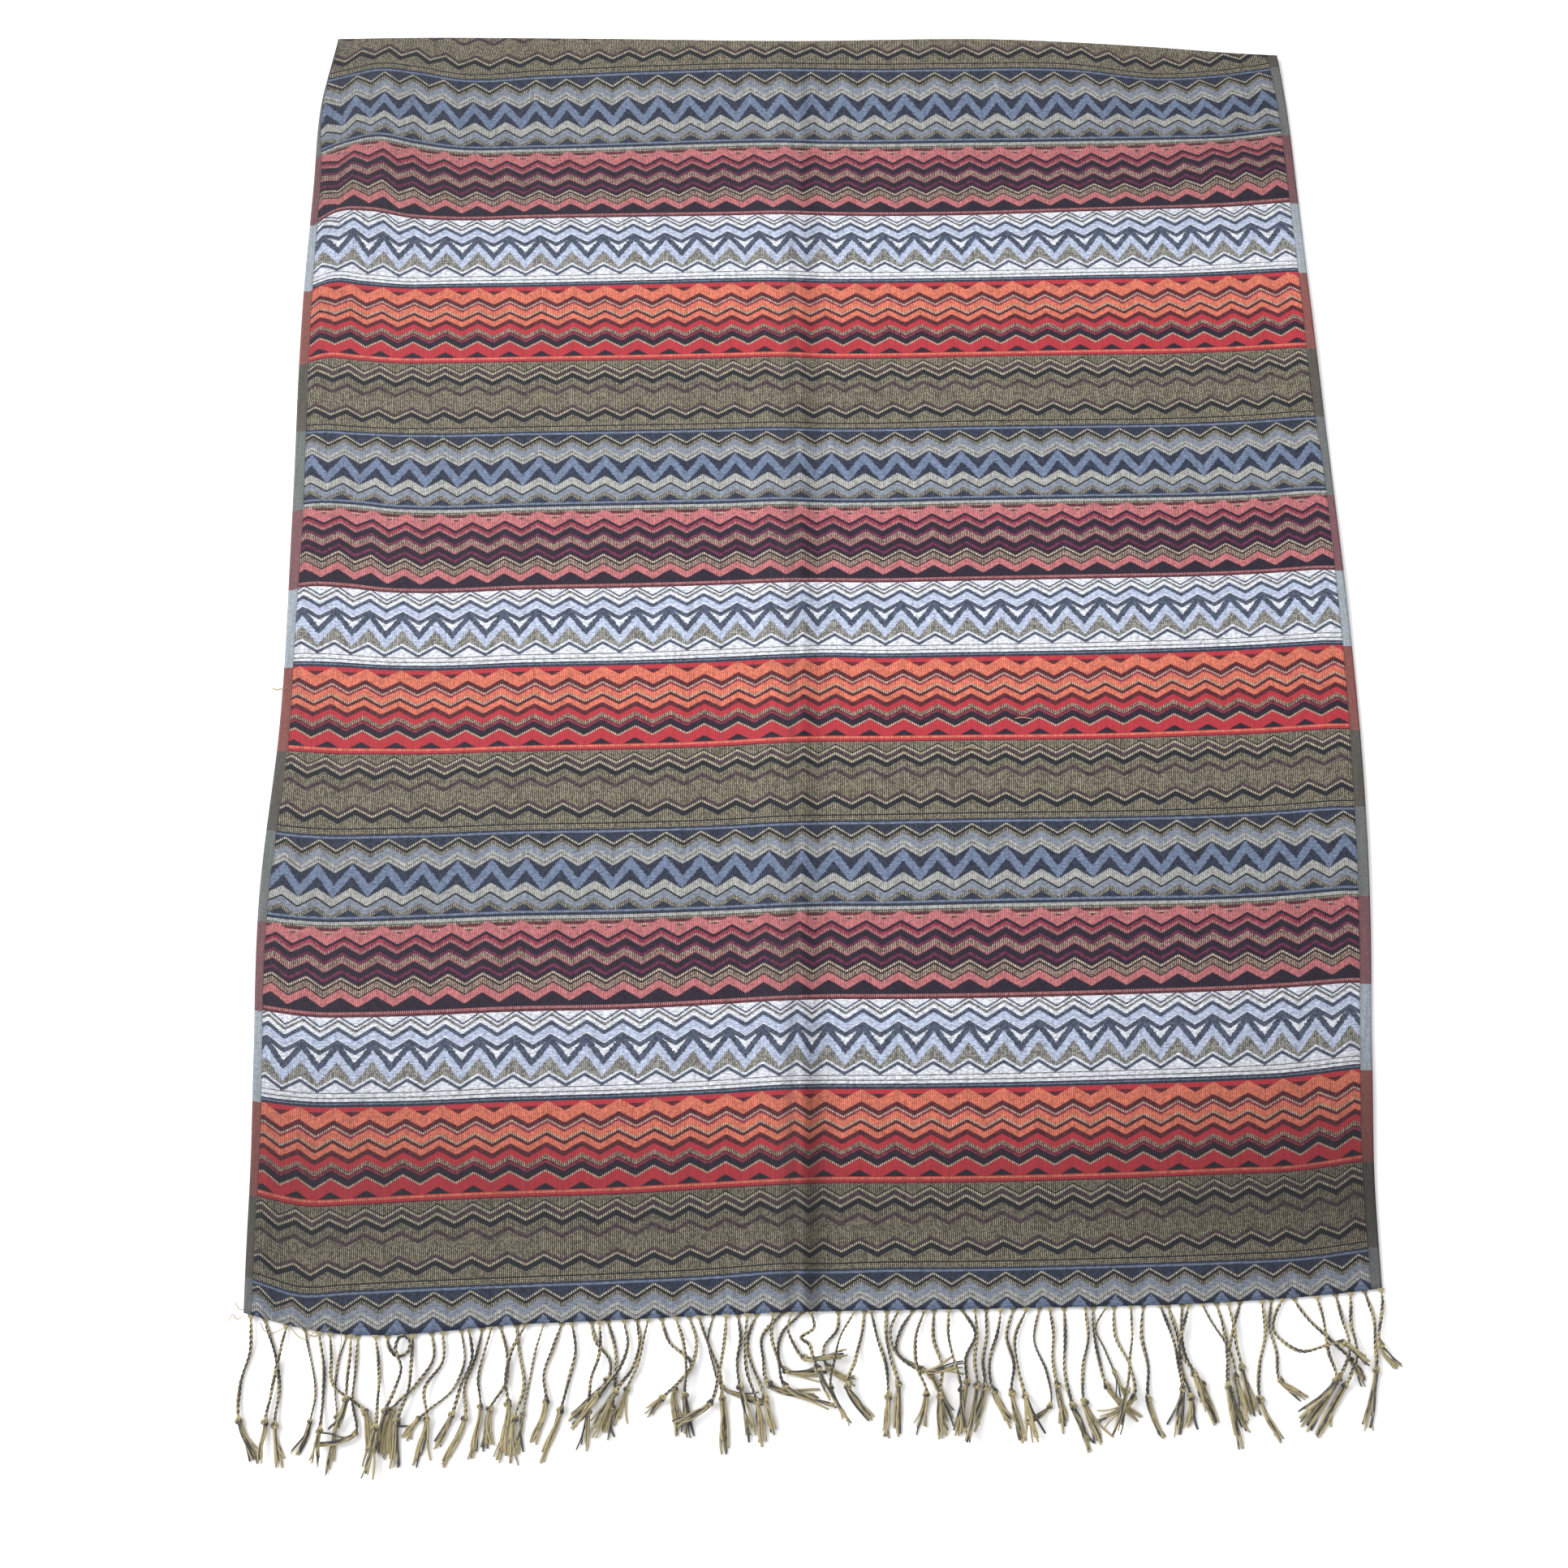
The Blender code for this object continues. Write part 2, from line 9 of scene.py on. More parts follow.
import bpy
import numpy as np
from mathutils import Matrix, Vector


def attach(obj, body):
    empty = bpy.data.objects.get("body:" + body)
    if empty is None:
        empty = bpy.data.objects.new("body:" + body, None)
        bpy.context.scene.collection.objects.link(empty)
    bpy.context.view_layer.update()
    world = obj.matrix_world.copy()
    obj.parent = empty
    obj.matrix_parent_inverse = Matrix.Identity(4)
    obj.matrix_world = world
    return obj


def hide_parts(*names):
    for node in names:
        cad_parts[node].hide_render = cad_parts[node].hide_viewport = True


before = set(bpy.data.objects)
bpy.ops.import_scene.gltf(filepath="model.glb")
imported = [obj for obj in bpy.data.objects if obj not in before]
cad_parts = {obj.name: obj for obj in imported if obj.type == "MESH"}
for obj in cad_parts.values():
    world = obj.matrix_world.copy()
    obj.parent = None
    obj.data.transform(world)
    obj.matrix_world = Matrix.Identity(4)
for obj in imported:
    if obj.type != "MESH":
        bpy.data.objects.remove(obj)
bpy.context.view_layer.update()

bl_info = {
    "name": "Folded fringed shawl",
    "version": (1, 0, 0),
    "blender": (4, 5, 0),
    "location": "View3D > Sidebar > Shawl",
    "description": "Dresses a folded woven shawl with its zigzag cloth, twisted fringe and studio stage",
    "category": "Object",
}

MM = 0.001

# Sizes that the cloth shares with its solids
UPPER_TOP = 2.7 * MM
FOLD_RADIUS = 2.4 * MM
FOLD_LIP = 4 * MM
FOLD_RISE_RUN = 34 * MM
STRIP_WIDTH = 3 * MM
CREASE_X = -8.5 * MM

# How round a crease's crest is, and over what run its two ends fade (mm)
CREST_ROUND = 1.5
CREASE_FADE = 60

# Sizes that the fringe shares with its solids
TWIST_RADIUS = 1.1 * MM
ROOT_RADIUS = 0.4 * MM
KNOT_RADIUS = 2.3 * MM
TASSEL_RADIUS = 1.9 * MM
FLOOR_CLEAR = 0.3 * MM
TWIST_CLEAR = 0.45 * MM
CLIMB = 0.55
ROOT_RUN = 4.5 * MM
SWELL_RUN = 9 * MM
KNOT_HALF = 4 * MM
TASSEL_RUN = 10 * MM
STATION_STEP = 11 * MM
ROUTE_POINTS = 120
SPAN_POINTS = 24
OWN_CROSSING = 12 * MM

# How far out a twist's plies run, and how thick they are, beside its radius; how soon they reach their
# full size, and the run of their unevenness
PLY_REACH = 0.48
PLY_GIRTH = 0.56
PLY_SWELL_RUN = 8 * MM
PLY_UNEVEN_RUN = 5.3 * MM

# The yarn in a knot, and the gathered yarns at a root: their radius and half the width they gather from
KNOT_YARN = 0.82 * MM
ROOT_YARN = 0.46 * MM
ROOT_HALF_WIDTH = 1.6 * MM

# Seeds of the two fringes' small differences
UNDER_SEED = 11
UPPER_SEED = 5

# The cloth's columns crowd together at the crease and at both edges: how much, and over what runs
CROWDING = 2.2
CROWD_AT_CREASE = 22 * MM
CROWD_AT_EDGE = 9 * MM
TRIAL_COLUMNS = 4001

# How the under half draws back below the upper half, at the hem, at the fold and at each side
UNDER_HEM_BACK = 0.8 * MM
UNDER_FOLD_GAP = 0.5 * MM
UNDER_SIDE_BACK = 1.5 * MM

# Steps of the half turn round the fold
ROLL_STEPS = 12

# Where the painted shade beside the crease deepens near the hem, and where it grows faint towards the fold
# (y)
NEAR_HEM_Y = -240 * MM
NEAR_HEM_RUN = 110 * MM
NEAR_FOLD_Y = 270 * MM
NEAR_FOLD_RUN = 90 * MM
NEAR_FOLD_FAINT = 0.6

# Points along a ply, a knot, a tassel's yarns, a root's yarns and a loose yarn; sides of their tubes
PLY_POINTS = 120
KNOT_POINTS = 34
TASSEL_POINTS = 24
ROOT_POINTS = 6
ROOT_YARNS = 5
LOOSE_POINTS = 16
ROUND_SIDES = 6
THIN_SIDES = 5

# Half the floor's width, and the width of the soft lamp
FLOOR_HALF = 6.0
LAMP_WIDTH = 5

# The camera: where its axis meets the floor, its distance and its tilt from straight down
CAMERA_AIM = (-0.0195, -0.1175)
CAMERA_DISTANCE = 1.3372
CAMERA_TILT = math.radians(16.4)
CAMERA_LENS = 46.25
CAMERA_SENSOR = 36
CAMERA_Y = CAMERA_AIM[1] - CAMERA_DISTANCE * math.sin(CAMERA_TILT)
CAMERA_Z = CAMERA_DISTANCE * math.cos(CAMERA_TILT)

# The lamp stands far off to the left and a little behind the fold
LAMP_AT = (-4.95, 2.16, 4.45)

# The cloth's two long edges: y, left edge x, right edge x (mm)
EDGES = (
    (-458, -351.5, 349.5),
    (-370, -354.0, 350.5),
    (-300, -357.5, 355.0),
    (-200, -361.5, 362.0),
    (-80, -356.5, 365.0),
    (60, -358.0, 362.0),
    (210, -362.0, 356.5),
    (330, -361.0, 352.5),
    (410, -359.0, 349.0),
    (455, -350.5, 344.0),
)

# The cloth's two ends: x, hem y, fold y (mm)
ENDS = (
    (-355, -456.5, 458.5),
    (-310, -467.5, 459.5),
    (-170, -463.5, 459.0),
    (-20, -457.0, 457.0),
    (150, -454.0, 458.0),
    (250, -451.0, 452.0),
    (320, -446.0, 446.0),
    (355, -442.0, 444.0),
)

# Creases: x at the hem, x at the fold, y from, y to, run on the left, run on the right, height (mm)
CREASES = (
    (-8.5, -8.5, -520, 470, 44, 13, 3.4),
    (-243, -262, 330, 520, 20, 34, 1.6),
    (226, 214, 350, 520, 40, 26, 1.5),
    (-120, -60, -120, 60, 46, 40, 0.8),
    (120, 150, 90, 300, 50, 44, 0.9),
)

# Soft waves: x, y, half length across, half length along, height (mm)
WAVES = (
    (-312, 398, 26, 74, 2.2),
    (-352, 250, 20, 40, 1.3),
    (-346, 60, 22, 52, 1.4),
    (-350, -130, 20, 44, 1.2),
    (-346, -412, 14, 46, 3.0),
    (-300, -250, 44, 90, 0.9),
    (300, 380, 34, 60, 1.8),
    (352, 215, 18, 48, 1.3),
    (354, 20, 20, 44, 1.5),
    (350, -150, 22, 56, 1.2),
    (344, -330, 18, 44, 1.4),
    (-200, -436, 60, 26, 0.8),
    (110, -438, 70, 24, 0.8),
    (-150, 200, 70, 80, 0.7),
    (190, -60, 80, 70, 0.7),
    (70, -290, 60, 90, 0.8),
)

# Where the pattern's bands begin: cloth y, distance down the pattern (mm)
BAND_LINES = (
    (-550, 970.0),
    (-431.5, 850.8),
    (-378.4, 797.0),
    (-319.5, 737.1),
    (-262.2, 682.8),
    (-202.9, 626.2),
    (-142.7, 567.2),
    (-88.0, 513.4),
    (-29.0, 453.5),
    (25.8, 399.2),
    (83.0, 342.6),
    (141.8, 283.6),
    (195.9, 229.8),
    (257.0, 169.9),
    (313.0, 115.6),
    (369.0, 59.0),
    (434.2, 0.0),
    (520, -86.0),
)

# How far a weft line bends up from straight, fitted to the photo's lines: the places across (x), then a
# row for each y (mm)
WEFT_X = (-359, -345, -320, -290, -260, -200, -120, -60, -20, 10, 40, 100, 200, 260, 300, 345)
WEFT_BEND = (
    (-440, -2.0, -6.5, -14.0, -13.0, -11.5, -9.0, -6.0, -3.0, 0.0, 0.0, 1.0, 1.5, 4.0, 6.0, 8.0, 13.5),
    (-400, -5.0, -9.5, -14.5, -14.0, -12.5, -9.5, -7.5, -4.0, -1.5, -1.0, -0.5, 0.0, 2.5, 5.0, 7.0, 13.5),
    (-370, -5.0, -8.5, -13.0, -12.5, -11.0, -9.0, -6.0, -3.0, -1.0, 0.0, 0.0, 0.5, 3.0, 5.5, 7.0, 13.5),
    (-330, -6.5, -9.0, -11.5, -11.5, -11.0, -8.5, -6.0, -3.0, -0.5, 0.0, 0.0, 0.5, 3.0, 5.0, 7.0, 13.5),
    (-290, -7.0, -9.5, -12.0, -12.0, -11.5, -9.0, -7.0, -4.0, -1.0, -0.5, -0.5, 0.5, 3.0, 5.0, 7.0, 12.0),
    (-250, -5.5, -7.5, -10.5, -10.5, -9.5, -7.0, -5.5, -2.5, -0.5, 0.5, 0.5, 1.0, 3.5, 5.5, 7.5, 11.0),
    (-185, -7.5, -9.5, -11.0, -10.5, -9.5, -7.0, -5.5, -3.5, -1.5, -0.5, -0.5, 1.0, 3.0, 4.0, 6.0, 10.0),
    (-110, -5.5, -7.0, -9.0, -9.0, -9.0, -7.0, -5.5, -3.5, -1.0, -0.5, 0.0, 1.0, 2.0, 4.0, 6.0, 9.5),
    (-60, -6.5, -6.5, -7.0, -8.5, -9.0, -7.0, -5.0, -3.0, -0.5, 0.5, 0.0, 0.5, 2.0, 4.0, 5.5, 8.5),
    (0, -5.5, -4.0, -5.0, -7.5, -8.0, -5.5, -4.0, -1.5, 0.0, 1.0, 0.5, 1.5, 3.5, 5.0, 7.0, 10.0),
    (60, -3.5, 0.0, -0.5, -5.0, -6.0, -4.0, -2.0, -1.0, 1.0, 0.0, 0.0, 1.5, 3.5, 4.5, 6.0, 9.5),
    (120, -2.0, -1.5, -2.5, -4.0, -4.5, -3.0, -1.5, 0.0, 1.0, 0.0, 0.0, 1.5, 3.0, 4.0, 5.5, 9.0),
    (170, -3.0, -0.5, -2.5, -4.0, -3.5, -2.5, -1.0, 0.0, 1.0, 0.0, 0.0, 1.5, 3.0, 4.0, 6.0, 9.5),
    (210, -4.0, 1.0, -0.5, -3.0, -3.0, -2.0, -0.5, 1.0, 2.0, 0.5, 0.5, 1.5, 3.5, 4.5, 6.0, 9.0),
    (250, -6.5, -0.5, -2.5, -5.0, -4.5, -3.5, -1.5, 0.0, 0.5, -0.5, -0.5, 0.5, 2.5, 4.0, 5.5, 8.5),
    (280, -8.0, -0.5, -2.0, -5.0, -4.5, -4.0, -2.0, 0.0, 0.5, -1.0, -1.0, -0.5, 2.5, 3.5, 6.0, 8.5),
    (310, -9.0, 0.5, 2.0, -3.5, -5.5, -4.0, -2.5, -1.5, -0.5, -1.5, -2.0, -1.5, 2.0, 4.0, 5.0, 8.0),
    (350, -7.5, 1.0, 6.0, -0.5, -4.5, -4.5, -2.5, -0.5, 0.5, -0.5, -1.0, -0.5, 1.0, 3.0, 9.0, 13.5),
    (385, -10.5, -3.0, 5.5, 0.0, -6.0, -5.5, -2.5, 0.0, 0.5, -0.5, -0.5, 0.5, 2.0, 3.0, 3.5, 10.0),
    (415, -9.0, -4.5, 1.0, -1.5, -7.5, -6.0, -2.5, -0.5, 0.5, 0.0, -0.5, 1.0, 0.5, -5.5, -3.0, 5.5),
    (440, -8.5, -5.0, 1.5, -2.0, -8.0, -5.0, -1.0, 1.0, 1.5, 1.0, 0.5, 1.0, 0.0, -9.0, -5.5, 2.0),
)

# How far the lengthwise threads lie to the right of even spacing, fitted to the photo's lines: the places
# across (x), then a row for each y (mm). The crease hides a little cloth, so the shift falls steeply there
THREAD_X = (-359, -340, -300, -260, -200, -120, -60, -13, 5, 40, 100, 200, 260, 300, 340, 359)
THREAD_SHIFT = (
    (-440, 0.0, 0.0, -2.0, -2.0, -0.5, 2.0, 4.0, 4.0, -2.5, -1.5, 0.0, 1.5, 1.0, 1.0, -0.5, -0.5),
    (-400, 0.0, -0.5, -2.0, -1.0, -0.5, 1.0, 3.0, 2.0, -2.5, -2.0, -1.0, 0.0, -0.5, -0.5, -1.0, -1.0),
    (-370, -0.5, -0.5, -2.0, -1.0, -0.5, 1.5, 3.0, 2.0, -2.0, -1.0, -0.5, 0.5, 0.5, 0.0, -1.0, -1.0),
    (-330, -1.0, -1.0, -0.5, 0.5, 0.5, 2.0, 3.5, 2.5, -0.5, 0.0, 0.5, 1.0, 0.5, 0.5, 1.5, 1.5),
    (-290, 0.0, 0.0, 0.5, 2.0, 2.0, 3.5, 4.5, 4.0, 0.5, 1.0, 1.5, 1.0, 0.5, 0.0, -1.0, -1.0),
    (-250, 2.0, 2.0, 2.0, 3.5, 3.0, 4.0, 4.5, 3.5, 1.0, 1.0, 1.5, 1.5, 0.5, 0.5, -1.0, -1.0),
    (-185, 6.5, 6.0, 5.5, 6.5, 6.0, 6.0, 6.5, 5.5, 3.0, 3.0, 3.0, 2.5, 1.5, 0.5, -1.5, -2.0),
    (-110, 2.0, 2.0, 2.0, 3.0, 3.0, 3.5, 4.5, 4.0, 1.5, 2.0, 2.0, 1.5, 1.0, 0.0, -1.5, -2.0),
    (-60, 1.5, 2.0, 2.0, 3.5, 3.0, 3.5, 4.5, 4.0, 2.0, 2.0, 2.5, 2.5, 2.5, 1.0, -0.5, -0.5),
    (0, 2.0, 2.0, 2.5, 2.5, 3.0, 3.0, 4.0, 4.0, 2.0, 2.5, 2.5, 2.5, 2.0, 1.0, 0.5, 0.0),
    (60, 2.0, 2.0, 2.0, 3.0, 3.0, 3.5, 4.5, 4.5, 3.5, 3.5, 4.5, 3.5, 3.0, 1.5, 0.5, 0.0),
    (120, 3.5, 3.5, 3.5, 4.5, 4.0, 5.0, 5.0, 5.0, 4.5, 4.5, 5.0, 4.0, 3.5, 2.5, 1.0, 1.0),
    (170, 4.5, 4.5, 4.0, 5.0, 4.5, 5.0, 5.5, 5.5, 4.5, 4.5, 4.0, 4.0, 3.0, 2.0, 0.5, 0.5),
    (210, 5.0, 5.0, 4.0, 4.5, 5.0, 5.5, 5.5, 5.5, 5.0, 4.5, 4.5, 4.0, 2.5, 2.0, 0.5, 0.0),
    (250, 3.0, 3.0, 3.0, 4.0, 4.0, 4.5, 4.5, 4.0, 4.0, 4.0, 4.0, 3.5, 2.0, 1.5, 0.0, -0.5),
    (280, 2.5, 2.5, 1.5, 2.0, 2.5, 2.5, 3.5, 3.5, 2.0, 2.5, 2.0, 1.5, 1.0, 0.0, -0.5, -1.0),
    (310, 1.0, 1.0, -0.5, 0.0, 0.5, 1.0, 1.5, 2.0, 0.5, 1.0, 1.5, 0.5, 0.5, -1.0, -1.5, -1.5),
    (350, -3.5, -3.0, -4.0, -3.0, -2.0, -1.5, -1.0, 0.0, -1.0, -0.5, 0.0, 0.0, -0.5, 0.5, -1.0, -1.5),
    (385, -1.5, -1.5, -5.0, -5.0, -4.0, -3.5, -2.0, -1.5, -1.5, -1.0, -0.5, 0.0, -0.5, -2.0, -2.0, -2.0),
    (415, -6.5, -6.5, -8.5, -9.0, -7.0, -5.5, -4.5, -3.5, -3.0, -2.5, 0.0, 0.0, -2.0, -3.5, -2.5, -2.5),
    (440, -10, -10.5, -14, -13, -11, -8.5, -6.5, -5.5, -4.0, -3.0, -0.5, 0.0, -5.5, -5.0, -2.5, -2.0),
)

# The crease was pressed sharp; beside it the cloth is painted darker, painted shade where its slopes turn
# from the light. Fitted to the photo's lightness across the crease: distance to the right of the crest
# (mm), then the tone beside that of flat cloth, halfway along and near the hem
CREASE_SHADE = (
    (-24, 1.00, 1.00),
    (-16, 0.97, 0.97),
    (-12, 0.95, 0.91),
    (-10, 0.93, 0.85),
    (-8, 0.88, 0.80),
    (-6, 0.84, 0.82),
    (-4, 0.84, 0.86),
    (-2, 0.92, 0.95),
    (0, 0.99, 0.97),
    (2, 1.01, 0.88),
    (4, 0.98, 0.80),
    (6, 0.95, 0.76),
    (9, 0.94, 0.79),
    (12, 0.94, 0.82),
    (15, 0.96, 0.89),
    (18, 0.98, 0.92),
    (24, 1.00, 1.00),
)

# How light the cloth looks beside the chart's colours: its dyed tone, with painted shade where the light
# falls off towards the right edge and the hem. Fitted to the photo's lightness in wide regions: y (mm),
# tone at the left edge, in the middle, at the right edge
DYE_AND_SHADE_TONE = (
    (-458, 0.808, 0.874, 0.799),
    (-425, 0.771, 0.832, 0.733),
    (-385, 0.715, 0.765, 0.595),
    (-345, 0.765, 0.845, 0.665),
    (-290, 0.865, 0.907, 0.799),
    (-200, 0.884, 0.921, 0.846),
    (-100, 0.874, 0.926, 0.865),
    (90, 0.931, 0.963, 0.921),
    (180, 0.884, 0.926, 0.893),
    (280, 0.884, 0.931, 0.912),
    (370, 0.837, 0.907, 0.837),
    (455, 0.818, 0.898, 0.827),
)

# How wide the woven edge shows, past what is rolled under: y, left, right (mm)
SELVEDGES = (
    (-458, 3.8, 6.2),
    (-400, 3.8, 6.2),
    (-340, 4.8, 6.7),
    (-260, 4.5, 6.7),
    (-160, 5.7, 6.5),
    (-80, 6.2, 6.0),
    (-20, 5.1, 5.1),
    (50, 6.3, 4.6),
    (120, 6.5, 4.6),
    (160, 6.4, 5.8),
    (250, 5.2, 5.2),
    (320, 4.3, 5.3),
    (355, 3.8, 5.3),
    (385, 1.4, 5.4),
    (410, 0.2, 5.5),
    (455, -0.5, 5.5),
)

# A row for each twist of the fringe (mm): root x; x a third and two thirds down to the knot;
# knot x, y; tassel tip x, y; girth beside a full twist
UNDER_TWISTS = (
    (-339, -331, -327, -328, -523, -324, -548, 1.0),
    (-314, -309, -305, -307, -521, -313, -541, 0.6),
    (-288, -292, -293, -291, -518, -295, -552, 0.6),
    (-281, -281, -282, -279, -528, -303, -535, 0.8),
    (-236, -234, -243, -257, -514, -260, -545, 1.0),
    (-218, -215, -221, -241, -519, -251, -530, 0.7),
    (-205, -208, -214, -213, -519, -226, -548, 1.0),
    (-194, -189, -189, -198, -514, -200, -539, 1.0),
    (-184, -181, -178, -183, -519, -186, -546, 1.0),
    (-156, -161, -166, -164, -509, -171, -534, 1.0),
    (-138, -135, -126, -127, -497, -150, -521, 1.0),
    (-128, -123, -122, -124, -512, -129, -531, 1.0),
    (-110, -108, -112, -122, -504, -136, -530, 1.0),
    (-95, -90, -76, -86, -502, -83, -530, 1.0),
    (-78, -73, -77, -93, -507, -104, -517, 1.0),
    (-63, -66, -63, -57, -501, -29, -511, 0.6),
    (-48, -46, -48, -46, -501, -37, -532, 1.0),
    (-36, -42, -38, -31, -507, -26, -529, 1.0),
    (-20, -33, -32, -29, -499, 3, -508, 1.0),
    (-8, -20, -23, -19, -491, 8, -493, 0.9),
    (14, 13, 5, 7, -489, 26, -499, 0.9),
    (30, 28, 24, 19, -500, 34, -520, 1.0),
    (44, 43, 46, 50, -499, 49, -531, 1.0),
    (60, 52, 50, 70, -494, 83, -524, 1.0),
    (73, 72, 77, 75, -506, 77, -531, 1.0),
    (90, 98, 92, 92, -498, 86, -530, 1.0),
    (105, 105, 102, 103, -501, 96, -527, 1.0),
    (122, 117, 121, 119, -504, 126, -533, 1.0),
    (138, 134, 141, 142, -512, 125, -523, 0.7),
    (153, 153, 152, 156, -512, 167, -538, 1.0),
    (171, 171, 173, 177, -500, 195, -521, 1.0),
    (184, 184, 192, 193, -507, 171, -520, 0.9),
    (202, 200, 203, 202, -508, 210, -531, 1.0),
    (217, 222, 223, 228, -507, 227, -526, 1.0),
    (226, 224, 226, 235, -499, 243, -524, 1.0),
    (247, 251, 252, 252, -503, 261, -528, 1.0),
    (262, 256, 252, 250, -500, 256, -537, 1.0),
    (281, 279, 282, 283, -497, 299, -508, 0.9),
    (295, 303, 316, 328, -486, 336, -500, 1.0),
    (321, 324, 326, 319, -495, 296, -526, 1.0),
    (339, 343, 343, 342, -491, 334, -527, 1.0),
)
UPPER_TWISTS = (
    (-347, -346, -351, -350, -520, -337, -546, 1.0),
    (-325, -328, -331, -334, -521, -335, -546, 1.0),
    (-305, -301, -300, -300, -526, -301, -547, 1.0),
    (-298, -296, -294, -274, -515, -270, -538, 1.0),
    (-285, -285, -285, -285, -508, -291, -529, 1.0),
    (-270, -267, -266, -266, -524, -272, -554, 1.0),
    (-247, -247, -248, -254, -521, -254, -549, 1.0),
    (-229, -228, -238, -236, -519, -241, -548, 1.0),
    (-213, -210, -216, -221, -517, -231, -537, 1.0),
    (-199, -203, -206, -204, -512, -209, -544, 0.8),
    (-178, -186, -189, -187, -511, -192, -545, 1.0),
    (-167, -172, -175, -178, -517, -181, -541, 0.6),
    (-150, -147, -151, -155, -514, -167, -545, 1.0),
    (-133, -132, -137, -138, -515, -142, -538, 1.0),
    (-118, -115, -120, -132, -505, -147, -526, 1.0),
    (-103, -106, -109, -115, -502, -122, -524, 0.8),
    (-86, -81, -79, -80, -506, -76, -532, 1.0),
    (-72, -66, -59, -57, -507, -55, -540, 1.0),
    (-55, -56, -59, -64, -510, -86, -523, 1.0),
    (-42, -43, -42, -36, -509, -32, -536, 1.0),
    (-26, -27, -23, -19, -500, 12, -514, 1.0),
    (-15, -17, -14, -7, -484, 19, -481, 0.9),
    (24, 15, 11, 9, -501, 21, -524, 0.7),
    (34, 38, 43, 44, -506, 41, -530, 1.0),
    (51, 46, 48, 64, -491, 90, -489, 1.0),
    (67, 61, 61, 67, -505, 61, -529, 1.0),
    (82, 81, 84, 88, -502, 89, -529, 0.9),
    (98, 99, 97, 98, -500, 91, -533, 1.0),
    (114, 111, 106, 108, -503, 118, -525, 1.0),
    (130, 122, 123, 127, -506, 131, -533, 1.0),
    (144, 146, 145, 147, -500, 153, -528, 1.0),
    (166, 167, 163, 163, -510, 173, -534, 1.0),
    (179, 172, 177, 182, -492, 188, -509, 0.6),
    (194, 194, 191, 188, -503, 181, -530, 0.8),
    (212, 218, 221, 223, -502, 218, -531, 1.0),
    (230, 225, 222, 230, -493, 237, -515, 1.0),
    (238, 245, 253, 256, -495, 261, -521, 0.8),
    (254, 256, 257, 260, -489, 266, -518, 1.0),
    (275, 276, 271, 270, -508, 282, -533, 1.0),
    (309, 312, 313, 316, -497, 290, -521, 1.0),
    (330, 329, 330, 322, -500, 303, -530, 1.0),
    (349, 349, 346, 345, -476, 357, -490, 1.0),
)

# Twists that swing round in a loop: the route's points from root to tassel tip, the knot last but one
UPPER_LOOPS = (
    ((-3, -457), (-1, -466), (-9, -472), (-4, -476), (-2, -483), (1, -490), (11, -511)),
    ((288, -450), (283, -457), (281, -467), (287, -475), (297, -480), (310, -477), (321, -475),
     (337, -488)),
)
UNDER_LOOPS = (
    ((-263, -468), (-262, -477), (-256, -483), (-250, -480), (-249, -473), (-254, -471), (-257, -478),
     (-253, -490), (-256, -502), (-261, -515), (-266, -545)),
)

# How a yarn shows in the weave: a code, then how deep the gap between ribs is, how much single cells
# differ, how strongly the weft floats streak, how far pale grains cover it, how far it is dotted over
# the band's ground colour, and how deep the gap between rows is. The shader reads them as a table
TEXTURES = {
    "plain": (0.1, 0.26, 0.80, 0.70, 0.0, 0.0, 0.10),
    "smooth": (0.2, 0.14, 0.12, 0.35, 0.0, 0.0, 0.05),
    "float": (0.3, 0.11, 0.22, 1.45, 0.0, 0.0, 0.18),
    "grain": (0.4, 0.42, 0.40, 0.40, 1.0, 0.0, 0.10),
    "ribbed": (0.5, 0.70, 0.35, 0.30, 0.0, 0.0, 0.15),
    "dots": (0.6, 0.10, 0.55, 0.10, 0.0, 1.0, 0.0),
    "tick": (0.7, 0.40, 0.75, 0.45, 0.0, 0.92, 0.48),
    "edge": (0.8, 0.20, 0.20, 0.30, 0.0, 0.0, 0.55),
    "stitch": (0.9, 0.40, 0.80, 0.10, 0.0, 0.75, 0.0),
}

